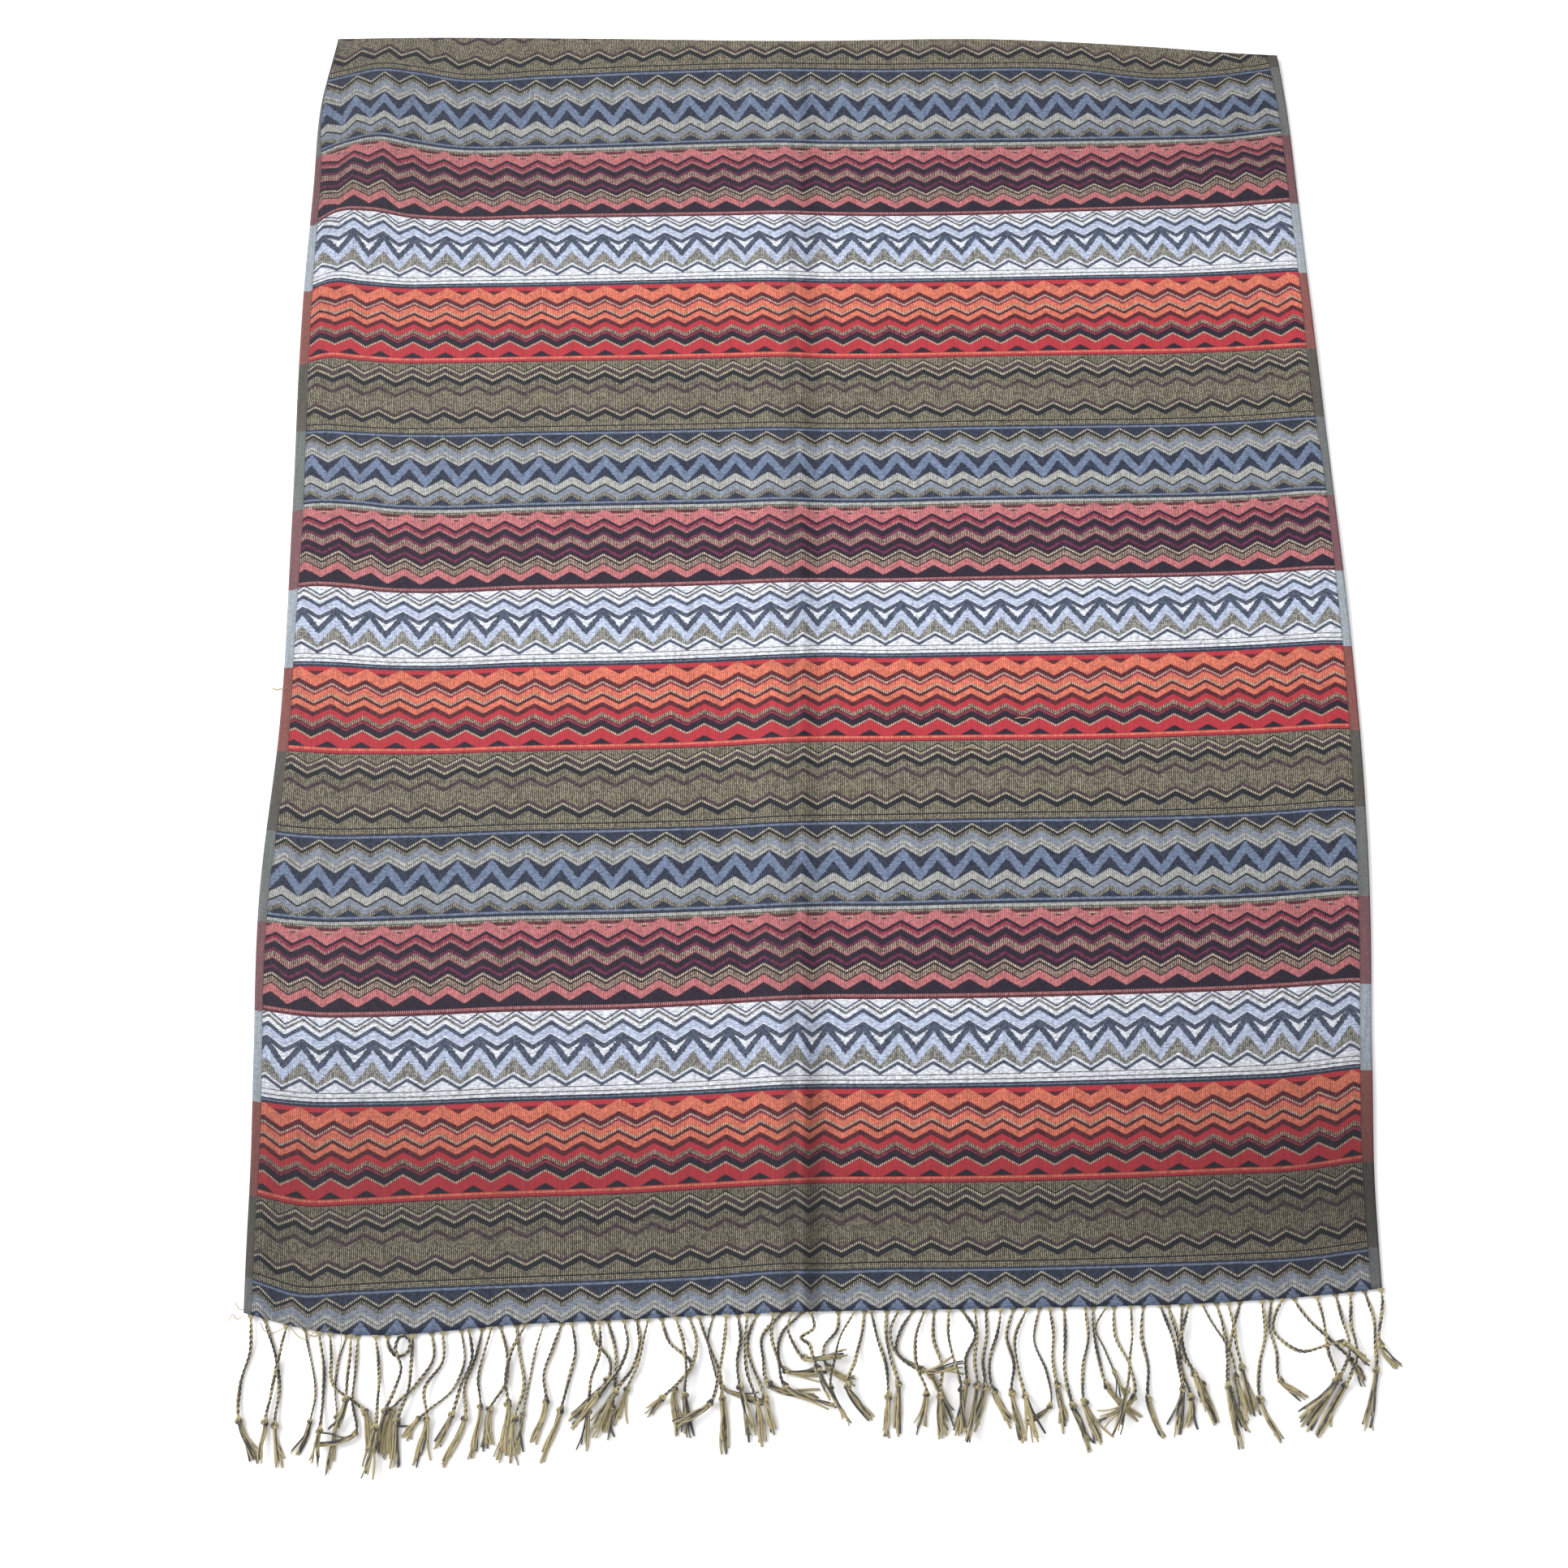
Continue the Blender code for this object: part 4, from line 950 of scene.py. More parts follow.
def unit(vectors):
    """The same directions with length one."""
    return vectors / np.maximum(np.linalg.norm(vectors, axis=-1, keepdims=True), 1e-12)


def hem_at(x):
    """Y of the hem at a place across, from the table of ends."""
    return soft_table(ENDS, 1, x)


def fold_at(x):
    """Y of the fold's outermost line at a place across, from the table of ends."""
    return soft_table(ENDS, 2, x)


def spread(c, y, width):
    """X of a lengthwise thread whose place in the flat cloth is c: each side is stretched from the
    straight crease to its bowed edge."""
    left, right = soft_table(EDGES, 1, y), soft_table(EDGES, 2, y)
    left_share = (c - CREASE_X) / (-width / 2 - CREASE_X)
    right_share = (c - CREASE_X) / (width / 2 - CREASE_X)
    return CREASE_X + np.where(c < CREASE_X, left_share * (left - CREASE_X),
                               right_share * (right - CREASE_X))


def lift(x, y, length):
    """How far the upper half's top stands over its flat level: pointed creases that run out on each
    side, plus round waves, fading into the fold's own rise."""
    height = np.zeros(np.broadcast(x, y).shape)
    for hem_x, fold_x, y_from, y_to, run_left, run_right, peak in CREASES:
        y_share = 0.5 + y / length
        across = x / MM - (hem_x + (fold_x - hem_x) * y_share)
        run = np.where(across < 0, run_left, run_right)
        crest = np.clip(1 - (np.hypot(across, CREST_ROUND) - CREST_ROUND) / run, 0, 1) ** 2
        ends = smooth_step((y / MM - y_from) / CREASE_FADE) * smooth_step((y_to - y / MM) / CREASE_FADE)
        height = height + peak * crest * ends
    for wave_x, wave_y, half_x, half_y, peak in WAVES:
        bump = np.exp(-((x / MM - wave_x) / half_x) ** 2 - ((y / MM - wave_y) / half_y) ** 2)
        height = height + peak * bump
    from_fold = fold_at(x) - FOLD_RADIUS - y
    fold_rise = 2 * FOLD_RADIUS - UPPER_TOP
    calm = smooth_step(from_fold / FOLD_RISE_RUN)
    return height * MM * calm + fold_rise * (1 - calm)


def pucker(x, y):
    """The cloth's own fine unevenness: crossed sine waves, 8 to 25 cm long and under half a millimetre."""
    x, y = x / MM, y / MM
    slow = np.sin(x / 31 + 1.3 * np.sin(y / 47)) * np.sin(y / 39 + 0.8)
    quick = np.sin(x / 13 + y / 61) * np.sin(y / 17 + 1.1 * np.sin(x / 53))
    return (0.22 * slow + 0.10 * quick) * MM


def even_columns(cloth):
    """Places across the flat cloth, closer together at the crease and at both edges."""
    half = cloth.width / 2
    place = np.linspace(-half, half, TRIAL_COLUMNS)
    near_crease = np.exp(-((place - CREASE_X) / CROWD_AT_CREASE) ** 2)
    near_edge = np.exp(-((half - np.abs(place)) / CROWD_AT_EDGE) ** 2)
    density = np.cumsum(1 + CROWDING * near_crease + CROWDING * near_edge)
    return np.interp(np.linspace(density[0], density[-1], cloth.across), density, place)


def cloth_rows(cloth, c, near, far):
    """Points of each thread c at even rows, from near past the hem line to far short of the fold line."""
    thread = np.repeat(c[:, None], cloth.along, axis=1)
    share = np.linspace(0, 1, cloth.along)[None, :]
    x = thread
    # X and y hang on each other, so both are worked out in three rounds
    for _ in range(3):
        y_near, y_far = hem_at(x) + near, fold_at(x) - far
        y = y_near + share * (y_far - y_near)
        x = spread(thread, y, cloth.width)
    return x, y


def grid_faces(columns, rows):
    """Corner numbers of a grid's quads, turned so that they face up."""
    index = np.arange(columns * rows).reshape(columns, rows)
    corners = (index[:-1, :-1], index[1:, :-1], index[1:, 1:], index[:-1, 1:])
    return np.stack(corners, axis=-1).reshape(-1, 4)


def add_object(name, data):
    """A new object in the scene, at the origin."""
    thing = bpy.data.objects.new(name, data)
    bpy.context.scene.collection.objects.link(thing)
    return thing


def make_piece(name, points, faces, look, uv_name, uv_corners):
    """A mesh object from whole arrays, with its UV map, finish, body and material slot."""
    mesh = bpy.data.meshes.new(name)
    mesh.from_pydata(points.reshape(-1, 3).tolist(), [], faces)
    mesh.polygons.foreach_set("use_smooth", np.ones(len(faces), dtype=bool))
    layer = mesh.uv_layers.new(name=uv_name)
    layer.data.foreach_set("uv", uv_corners.astype(np.float32).ravel())
    mesh.materials.append(look)
    mesh.update()
    thing = add_object(name, mesh)
    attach(thing, "root")
    return thing


def straight_curve(knots, values, at):
    """Straight lines through values at the knots."""
    return np.interp(at, knots, values)


def read_chart(places, rows, x, y, curve):
    """A chart in millimetres at places across and rows along: a curve across in each row, and the rows
    blended along y by 3 t^2 - 2 t^3."""
    across = np.array([curve(np.array(places) * MM, np.array(row[1:]) * MM, x) for row in rows])
    knots = column(rows, 0)
    at = np.clip(y, knots[0], knots[-1])
    i = np.clip(np.searchsorted(knots, at) - 1, 0, len(knots) - 2)
    t = smooth_step((at - knots[i]) / (knots[i + 1] - knots[i]))
    low = np.take_along_axis(across, i[None], axis=0)[0]
    high = np.take_along_axis(across, i[None] + 1, axis=0)[0]
    return low + t * (high - low)


def cloth_tone(x, y, share):
    """How light the cloth looks beside its chart: its dyed tone with painted shade of the light's falloff,
    by height, bent from edge to edge as a parabola, times the painted shade beside the crease, which
    deepens near the hem and grows faint near the fold. The product is raised to the eye's power."""
    # Dyed tone with painted shade of the light's falloff, by height and across
    left, middle, right = (soft_table(DYE_AND_SHADE_TONE, index, y) / MM for index in (1, 2, 3))
    dyed_and_shaded = middle + (left - middle) * np.clip(1 - 2 * share, 0, 1) ** 2
    dyed_and_shaded = dyed_and_shaded + (right - middle) * np.clip(2 * share - 1, 0, 1) ** 2
    # Painted shade beside the crease, deeper near the hem and faint near the fold
    beside, near_hem = (soft_table(CREASE_SHADE, index, x - CREASE_X) / MM for index in (1, 2))
    hem_share = smooth_step((NEAR_HEM_Y - y) / NEAR_HEM_RUN)
    fold_share = smooth_step((y - NEAR_FOLD_Y) / NEAR_FOLD_RUN)
    beside = beside + (1 - beside) * NEAR_FOLD_FAINT * fold_share
    return (dyed_and_shaded * (beside + (near_hem - beside) * hem_share)) ** EYE_POWER


def thread_places(surface, cloth):
    """Where each point lies in the weave: across from the left edge, down the pattern, how far into the
    woven edge (less than nothing beyond it), and the cloth's tone there.

    Lines of the weave were read where they are seen on the floor's plane, so each point is first
    carried along its line of sight to that plane.
    """
    x, y, z = surface[..., 0], surface[..., 1], surface[..., 2]
    reach = z / (CAMERA_Z - z)
    x = x + (x - CAMERA_AIM[0]) * reach
    y = y + (y - CAMERA_Y) * reach
    left, right = soft_table(EDGES, 1, y), soft_table(EDGES, 2, y)
    share = (x - left) / (right - left)
    shift = read_chart(THREAD_X, THREAD_SHIFT, x, y, straight_curve)
    across = cloth.width * (x - shift - left) / (right - left)
    down = soft_table(BAND_LINES, 1, y - read_chart(WEFT_X, WEFT_BEND, x, y, soft_curve))
    into_edge = np.maximum(soft_table(SELVEDGES, 1, y) - (x - left),
                           soft_table(SELVEDGES, 2, y) - (right - x))
    return np.stack((across, down, into_edge / MM, cloth_tone(x, y, share)), axis=-1)


def upper_cloth(cloth):
    """The upper half's outer face: y runs even from hem to fold, then half a turn round the fold and a
    short lip on the floor. Returns its points and their places in the weave."""
    x, y = cloth_rows(cloth, even_columns(cloth), 0, FOLD_RADIUS)
    calm = smooth_step((fold_at(x) - y) / FOLD_RISE_RUN)
    top = np.stack((x, y, UPPER_TOP + lift(x, y, cloth.length) + pucker(x, y) * calm), axis=-1)
    threads = thread_places(top, cloth)
    turned = math.pi * np.arange(1, ROLL_STEPS + 1) / ROLL_STEPS
    angle = math.pi / 2 - turned
    end = top[:, -1:]
    roll = np.repeat(end, ROLL_STEPS, axis=1)
    roll[..., 1] = end[..., 1] + FOLD_RADIUS * np.cos(angle)
    roll[..., 2] = FOLD_RADIUS * (1 + np.sin(angle))
    lip = end.copy()
    lip[..., 1] -= FOLD_LIP
    lip[..., 2] = 0
    round_fold = np.repeat(threads[:, -1:], ROLL_STEPS + 1, axis=1)
    round_fold[..., 1] -= np.append(FOLD_RADIUS * turned, FOLD_RADIUS * math.pi + FOLD_LIP)
    return np.concatenate((top, roll, lip), axis=1), np.concatenate((threads, round_fold), axis=1)


def under_cloth(cloth):
    """The under half's outer face: flat on the floor, lifted half as far as the half above it."""
    c = even_columns(cloth)
    x, y = cloth_rows(cloth, c, UNDER_HEM_BACK, FOLD_RADIUS + FOLD_LIP + UNDER_FOLD_GAP)
    height = cloth.wall + 0.5 * lift(x, y, cloth.length)
    inset = 1 - 2 * UNDER_SIDE_BACK / cloth.width
    surface = np.stack((CREASE_X + (x - CREASE_X) * inset, y, height), axis=-1)
    return surface, thread_places(surface, cloth)


def make_cloth(title, surface, threads, cloth, look, slot):
    """A layer of cloth: a grid with a wall below it; each point keeps how far it is into the woven edge,
    and its tone."""
    faces = grid_faces(*surface.shape[:2])
    places = threads.reshape(-1, 4)
    piece = make_piece(title, surface, faces.tolist(), look, "threads", places[faces.ravel(), :2])
    for name, index in (("into_edge", 2), ("tone", 3)):
        layer = piece.data.attributes.new(name, "FLOAT", "POINT")
        layer.data.foreach_set("value", places[:, index].astype(np.float32))
    wall = piece.modifiers.new("wall", "SOLIDIFY")
    wall.thickness = cloth.wall
    wall.offset = -1
    wall.use_even_offset = True
    return piece


def through(points, count):
    """A smooth route through a few points of the plan: centripetal Catmull-Rom, evenly spaced along it."""
    points = np.asarray(points, dtype=float)
    ends = np.vstack((2 * points[0] - points[1], points, 2 * points[-1] - points[-2]))
    pieces = []
    for a, b, c, d in zip(ends, ends[1:], ends[2:], ends[3:]):
        t1 = np.linalg.norm(b - a) ** 0.5
        t2 = t1 + np.linalg.norm(c - b) ** 0.5
        t3 = t2 + np.linalg.norm(d - c) ** 0.5
        t = np.linspace(t1, t2, SPAN_POINTS, endpoint=False)[:, None]
        ab = a + (b - a) * t / t1
        bc = b + (c - b) * (t - t1) / (t2 - t1)
        cd = c + (d - c) * (t - t2) / (t3 - t2)
        abc = ab + (bc - ab) * t / t2
        bcd = bc + (cd - bc) * (t - t1) / (t3 - t1)
        pieces.append(abc + (bcd - abc) * (t - t1) / (t2 - t1))
    route = np.vstack((*pieces, points[-1:]))
    length = np.concatenate(((0,), np.cumsum(np.linalg.norm(np.diff(route, axis=0), axis=1))))
    even = np.linspace(0, length[-1], count)
    return np.stack([np.interp(even, length, route[:, axis]) for axis in (0, 1)], axis=1), even


def plan_points(row):
    """The plan of one twist from its table row: root, a third, two thirds, knot and tip (mm)."""
    root, third, two_thirds, knot_x, knot_y, tip_x, tip_y = row[:7]
    hem = float(hem_at(np.array(root * MM))) / MM
    bends = [(third, hem + (knot_y - hem) / 3), (two_thirds, hem + (knot_y - hem) * 2 / 3)]
    return [(root, hem), *bends, (knot_x, knot_y), (tip_x, tip_y)]


def stations(knot, end):
    """Where along a twist its solid has a ring: root, swell, even steps, knot and tassel."""
    swell = ROOT_RUN + SWELL_RUN
    steps = max(2, round((knot - KNOT_HALF - swell) / STATION_STEP))
    body = np.linspace(swell, knot - KNOT_HALF, steps + 1)
    tassel = np.linspace(knot + KNOT_HALF, end, 3)
    return np.concatenate(((0, ROOT_RUN), body, (knot,), tassel))


def twist(points, girth):
    """A twist's route in plan with its solid's radius and rings, as the solid has them."""
    points = [(x * MM, y * MM) for x, y in points]
    root_x = points[0][0]
    root_y = float(hem_at(np.array(root_x)))
    points[0] = (root_x, root_y)
    inside = (root_x, root_y + STRIP_WIDTH / 2)
    route, along = through([inside, *points], ROUTE_POINTS)
    knot = along[np.linalg.norm(route - np.array(points[-2]), axis=1).argmin()]
    swell = smooth_step((along - ROOT_RUN) / SWELL_RUN)
    radius = ROOT_RADIUS + (TWIST_RADIUS * girth - ROOT_RADIUS) * swell
    knot_swell = (KNOT_RADIUS - TWIST_RADIUS) * girth
    radius = radius + knot_swell * np.clip(1 - np.abs(along - knot) / KNOT_HALF, 0, 1)
    past = (along - knot - KNOT_HALF) / TASSEL_RUN
    radius = radius + (TASSEL_RADIUS - TWIST_RADIUS) * girth * smooth_step(past)
    at = stations(knot, along[-1])
    rings = [np.interp(at, along, line) for line in (route[:, 0], route[:, 1], radius)]
    chord_x, chord_y, chord_radius = (np.interp(along, at, ring) for ring in rings)
    return {"route": np.stack((chord_x, chord_y), axis=1), "smooth": route, "along": along,
            "radius": chord_radius, "at": at, "knot": knot, "girth": girth}


def all_twists(rows, loops):
    """Every twist of one end: the table's and those that loop."""
    straight = [twist(plan_points(row), row[-1]) for row in rows]
    return straight + [twist(points, 1.0) for points in loops]


def seat(twists, strip_top, wall, taken):
    """Gives each twist its height: on the floor, or over every earlier twist that it crosses in plan."""
    for item in twists:
        route, along, radius = item["route"], item["along"], item["radius"]
        start = float(strip_top(*route[0])) - wall + ROOT_RADIUS + FLOOR_CLEAR
        floor = np.maximum(radius + FLOOR_CLEAR, start - CLIMB * np.maximum(along - ROOT_RUN, 0))
        need = floor.copy()
        for other in taken + [item]:
            own = other is item
            reach = radius[:, None] + other["radius"][None, :] + TWIST_CLEAR
            apart = np.linalg.norm(route[:, None] - other["route"][None, :], axis=2)
            over = np.sqrt(np.clip(reach ** 2 - apart ** 2, 0, None))
            heights = need if own else other["z"]
            level = np.where(apart < reach, heights[None, :] + over, 0)
            if own:
                level = np.where(along[:, None] - along[None, :] > OWN_CROSSING, level, 0)
            need = np.maximum(need, level.max(axis=1))
        ramp = need[None, :] - CLIMB * np.abs(along[:, None] - along[None, :])
        height = ramp.max(axis=1)
        at = item["at"]
        rings = np.full(len(at), start)
        for i in range(2, len(at)):
            far = at[min(i + 1, len(at) - 1)]
            rings[i] = height[(along >= at[i - 1]) & (along <= far)].max()
        item["z"] = np.interp(along, at, rings)
        taken.append(item)


def centre_line(item, begin, end, count):
    """Even points of a twist's centre line between two distances along it, with the distances."""
    at = np.linspace(begin, end, count)
    lines = (*item["smooth"].T, item["z"])
    return np.stack([np.interp(at, item["along"], line) for line in lines], axis=-1), at


def sides_of(path):
    """The sideways and upward directions along a path that lies nearly level."""
    tangent = unit(np.gradient(path, axis=-2))
    side = unit(np.cross((0, 0, 1), tangent))
    return side, np.cross(tangent, side)


def tube_points(paths, radii, sides):
    """Rings round each path: centre plus radius times (cosine across, sine up), square to the path."""
    side, up = sides_of(paths)
    angle = 2 * math.pi * np.arange(sides) / sides
    ring = np.cos(angle)[:, None] * side[:, :, None] + np.sin(angle)[:, None] * up[:, :, None]
    return paths[:, :, None] + radii[:, :, None, None] * ring


def make_tubes(name, groups, look):
    """Joins groups of closed tubes in one piece. A group is its paths, radii, sides and dark shares."""
    points, faces, corners, shares, first = [], [], [], [], 0
    for paths, radii, sides, dark in groups:
        rings = tube_points(paths, radii, sides)
        count = len(rings)
        index = first + np.arange(rings[..., 0].size).reshape(rings.shape[:3])
        following = np.roll(index, -1, axis=2)
        quads = np.stack((index[:, :-1], following[:, :-1], following[:, 1:], index[:, 1:]), axis=-1)
        steps = np.linalg.norm(np.diff(paths, axis=1), axis=-1)
        along = np.concatenate((np.zeros((count, 1)), np.cumsum(steps, axis=1)), axis=1)
        along = np.broadcast_to(along[:, :, None], rings.shape[:3])
        around = np.broadcast_to(np.arange(sides) / sides, along.shape)
        # Each tube starts elsewhere in the fibres' pattern
        offset = np.arange(count)[:, None, None] * 0.37
        low = np.stack((along[:, :-1], around[:, :-1] + offset), axis=-1)
        high = np.stack((along[:, 1:], around[:, 1:] + offset), axis=-1)
        next_side = np.array((0, 1 / sides))
        square = np.stack((low, low + next_side, high + next_side, high), axis=-2)
        corners.append(square.reshape(-1, 2))
        faces.extend(quads.reshape(-1, 4).tolist())
        caps = np.concatenate((index[:, 0, ::-1], index[:, -1]))
        faces.extend(caps.tolist())
        corners.append(np.zeros((caps.size, 2)))
        points.append(rings.reshape(-1, 3))
        shares.append(np.broadcast_to(dark.reshape(count, -1, 1), rings.shape[:3]).ravel())
        first += rings[..., 0].size
    uv_corners = np.concatenate(corners)
    piece = make_piece(name, np.concatenate(points), faces, look, "fibres", uv_corners)
    layer = piece.data.attributes.new("dark_share", "FLOAT", "POINT")
    layer.data.foreach_set("value", np.concatenate(shares).astype(np.float32))
    return piece


def two_plies(item, fringe, chance):
    """The two plies of a twist: helices half a turn apart round its centre line, from root to knot. Gold
    and dark take turns along each ply."""
    begin, end = STRIP_WIDTH / 2, item["knot"]
    path, at = centre_line(item, begin, end, PLY_POINTS)
    side, up = sides_of(path)
    from_hem = at - begin
    swell = 0.5 + 0.5 * smooth_step(from_hem / PLY_SWELL_RUN)
    uneven = 1 + 0.12 * np.sin(from_hem / PLY_UNEVEN_RUN + chance.uniform(0, 6))
    radius = TWIST_RADIUS * item["girth"] ** 0.8 * swell * uneven
    turn = 2 * math.pi * from_hem / (fringe.ply_turn * chance.uniform(0.85, 1.2)) + chance.uniform(0, 6)
    patch = 2 * math.pi * from_hem / (fringe.patch * chance.uniform(0.8, 1.25)) + chance.uniform(0, 6)
    bias = chance.uniform(-0.22, 0.30)
    paths, radii, shares = [], [], []
    for start in (0, math.pi):
        across, rise = np.cos(turn + start), np.sin(turn + start)
        outward = across[:, None] * side + rise[:, None] * up
        paths.append(path + PLY_REACH * radius[:, None] * outward)
        radii.append(PLY_GIRTH * radius)
        shares.append(np.clip(0.5 + bias + 0.7 * np.sin(patch + start), 0, 1))
    return np.array(paths), np.array(radii), ROUND_SIDES, np.array(shares)


def overhand_knot(item, chance):
    """A knot: a trefoil, (sin t + 2 sin 2t, cos t - 2 cos 2t, -sin 3t), a little out of true."""
    middle, _ = centre_line(item, item["knot"] - 2 * MM, item["knot"] + 2 * MM, 5)
    tangent = unit(middle[-1] - middle[0])
    side = unit(np.cross((0, 0, 1), tangent))
    turn = np.linspace(0, 2 * math.pi, KNOT_POINTS) + chance.uniform(0, 6)
    girth = item["girth"] ** 0.7
    lean = chance.uniform(-0.5, 0.5)
    across = (np.sin(turn) + 2 * np.sin(2 * turn)) / 3
    onward = (np.cos(turn) - 2 * np.cos(2 * turn)) / 3
    across, onward = across + lean * onward, onward - lean * across
    reach = chance.uniform(1.6, 2.0) * MM * girth
    path = middle.mean(axis=0) + reach * (across[:, None] * side + 1.15 * onward[:, None] * tangent)
    path[:, 2] += -0.75 * MM * girth * np.sin(3 * turn) + 0.3 * MM
    radius = np.full(KNOT_POINTS, KNOT_YARN * girth)
    path[:, 2] = np.maximum(path[:, 2], radius + 0.2 * MM)
    bands = 0.5 * np.sin(2 * turn + chance.uniform(0, 6))
    shares = np.clip(0.35 + bands + chance.uniform(-0.2, 0.2), 0, 1)
    return path[None], radius[None], ROUND_SIDES, shares[None]


def tassel(item, fringe, chance):
    """Soft bundles of yarn from the knot to the tip: they start together, part slowly, wave, and one or
    two of them swing out on their own. Each tapers at its end."""
    yarns = fringe.yarns
    path, at = centre_line(item, item["knot"], item["along"][-1], TASSEL_POINTS)
    side, _ = sides_of(path)
    share = (at - at[0]) / (at[-1] - at[0])
    girth = item["girth"]
    order = np.linspace(-1, 1, yarns)[:, None] + chance.uniform(-0.35, 0.35, (yarns, 1))
    spread_out = (0.8 + chance.uniform(0.6, 1.7) * share) * MM * girth
    waves = chance.uniform(3, 8, (yarns, 1)) * share + chance.uniform(0, 6, (yarns, 1))
    wander = chance.uniform(0.3, 1.0, (yarns, 1)) * MM * np.sin(waves) * share ** 0.7
    stray = chance.uniform(-1, 1, (yarns, 1)) ** 5 * 6 * MM * share ** 2
    across = order * spread_out + wander + stray
    forward = share * chance.uniform(0.72, 1.04, (yarns, 1))
    base = np.stack([np.interp(forward, share, line) for line in path.T], axis=-1)
    layer = chance.uniform(0, 1, (yarns, 1)) * (1 - 0.6 * share)
    low = np.interp(forward, share, path[:, 2]) - TASSEL_RADIUS * girth
    thick = fringe.yarn * chance.uniform(0.7, 1.25, (yarns, 1)) * girth ** 0.5
    radius = thick * (1.05 + 0.15 * share - 0.25 * share ** 12)
    paths = base + across[..., None] * side
    paths[..., 2] = np.maximum(low + (0.6 + 1.5 * layer) * MM, radius + 0.15 * MM)
    dark = np.where(chance.uniform(0, 1, (yarns, 1)) < 0.34, chance.uniform(0.6, 1.0, (yarns, 1)),
                    chance.uniform(0.0, 0.35, (yarns, 1)))
    shares = np.clip(dark + 0.15 * np.sin(2 * waves), 0, 1)
    return paths, radius, ROUND_SIDES, shares


def root_yarns(item, chance):
    """Warp yarns gathered from the hem into a twist: straight lines that close in on its centre."""
    path, _ = centre_line(item, STRIP_WIDTH / 2 - 0.3 * MM, STRIP_WIDTH / 2 + 5 * MM, ROOT_POINTS)
    share = np.linspace(0, 1, ROOT_POINTS)
    begin = np.linspace(-1, 1, ROOT_YARNS)[:, None] * ROOT_HALF_WIDTH * item["girth"]
    begin = begin + chance.uniform(-0.2, 0.2, (ROOT_YARNS, 1)) * MM
    paths = np.repeat(path[None], ROOT_YARNS, axis=0)
    paths[..., 0] += begin * (1 - smooth_step(share * 1.3))
    radii = np.broadcast_to(ROOT_YARN * (1 - 0.25 * share), (ROOT_YARNS, ROOT_POINTS))
    shares = np.broadcast_to(chance.uniform(0, 0.35, (ROOT_YARNS, 1)), (ROOT_YARNS, ROOT_POINTS))
    return paths, radii, THIN_SIDES, shares


# Loose yarns: radius, then the points of each (mm): x, y, height over what is below
LOOSE_YARNS = (
    (0.28, ((-341, -463, 3), (-338, -468, 3), (-333, -469, 1), (-328, -467, 2), (-324, -465, 3))),
    (0.28, ((-322, -466, 3), (-318, -471, 1), (-313, -473, 1), (-309, -470, 2), (-306, -467, 3))),
    (0.28, ((-316, -466, 3), (-312, -470, 1), (-307, -471, 1), (-301, -468, 2), (-298, -466, 3))),
    (0.25, ((-291, -467, 3), (-291, -474, 1), (-292, -482, 1), (-293, -491, 1), (-294, -499, 1))),
    (0.25, ((-352, -459, 3), (-356, -461, 1), (-359, -458, 1), (-361, -462, 1))),
    (0.25, ((-351, -455, 3), (-355, -455, 1), (-358, -451, 1))),
    (0.45, ((-363, -51.5, 3.4), (-360, -52.5, 3.2), (-357.5, -52, 3.4), (-355, -52.5, 3.2))),
    (0.35, ((94, -95, 3.6), (98, -94, 4.0), (103, -93.2, 4.0), (108, -94, 3.7), (111, -94.5, 3.5))),
    (0.35, ((135, -73, 3.6), (139, -72.4, 4.0), (144, -72.8, 3.8), (147, -73.4, 3.5))),
)


def make_fringe(name, twists, fringe, looks, seed):
    """One end's fringe: twists with knots, tassels, and the gathered yarns at their roots."""
    chance = np.random.default_rng(seed)
    plies = [two_plies(item, fringe, chance) for item in twists]
    knots = [overhand_knot(item, chance) for item in twists]
    tassels = [tassel(item, fringe, chance) for item in twists]
    roots = [root_yarns(item, chance) for item in twists]
    twisted = make_tubes(name + "_twists", plies + knots, looks[0])
    loose = make_tubes(name + "_tassels", tassels, looks[1])
    gathered = make_tubes(name + "_roots", roots, looks[1])
    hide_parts(name)
    return [twisted, loose, gathered]


def seated_twists(cloth):
    """All twists with their heights: the under half's first, then the upper half's over them."""
    def under_top(x, y):
        """The under half's hem lies flat on the floor."""
        return cloth.wall

    def upper_top(x, y):
        """The upper half's hem follows its waves."""
        return UPPER_TOP + lift(np.array([x]), np.array([y]), cloth.length)[0]

    taken = []
    under = all_twists(UNDER_TWISTS, UNDER_LOOPS)
    seat(under, under_top, cloth.wall, taken)
    upper = all_twists(UPPER_TWISTS, UPPER_LOOPS)
    seat(upper, upper_top, cloth.wall, taken)
    return under, upper


def lay_half(context, title, shape, slot):
    """Makes one half of the cloth. Both halves share the one finish, which the first of them makes."""
    cloth, yarns = context.scene.shawl_cloth, context.scene.shawl_yarns
    look = bpy.data.materials.get("jacquard_viscose") or jacquard_cloth(cloth, yarns)
    return make_cloth(title, *shape(cloth), cloth, look, slot)


class SHAWL_OT_under_cloth(bpy.types.Operator):
    """Lays the hidden under half on the floor"""
    bl_idname = "shawl.under_cloth"
    bl_label = "Under half"

    def execute(self, context):
        piece = lay_half(context, "shawl_under", under_cloth, "under_half")
        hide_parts("under_half")
        return {"FINISHED"}


class SHAWL_OT_upper_cloth(bpy.types.Operator):
    """Lays the upper half over it, round the fold"""
    bl_idname = "shawl.upper_cloth"
    bl_label = "Upper half and fold"

    def execute(self, context):
        piece = lay_half(context, "shawl_upper", upper_cloth, "upper_half")
        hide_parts("upper_half")
        return {"FINISHED"}


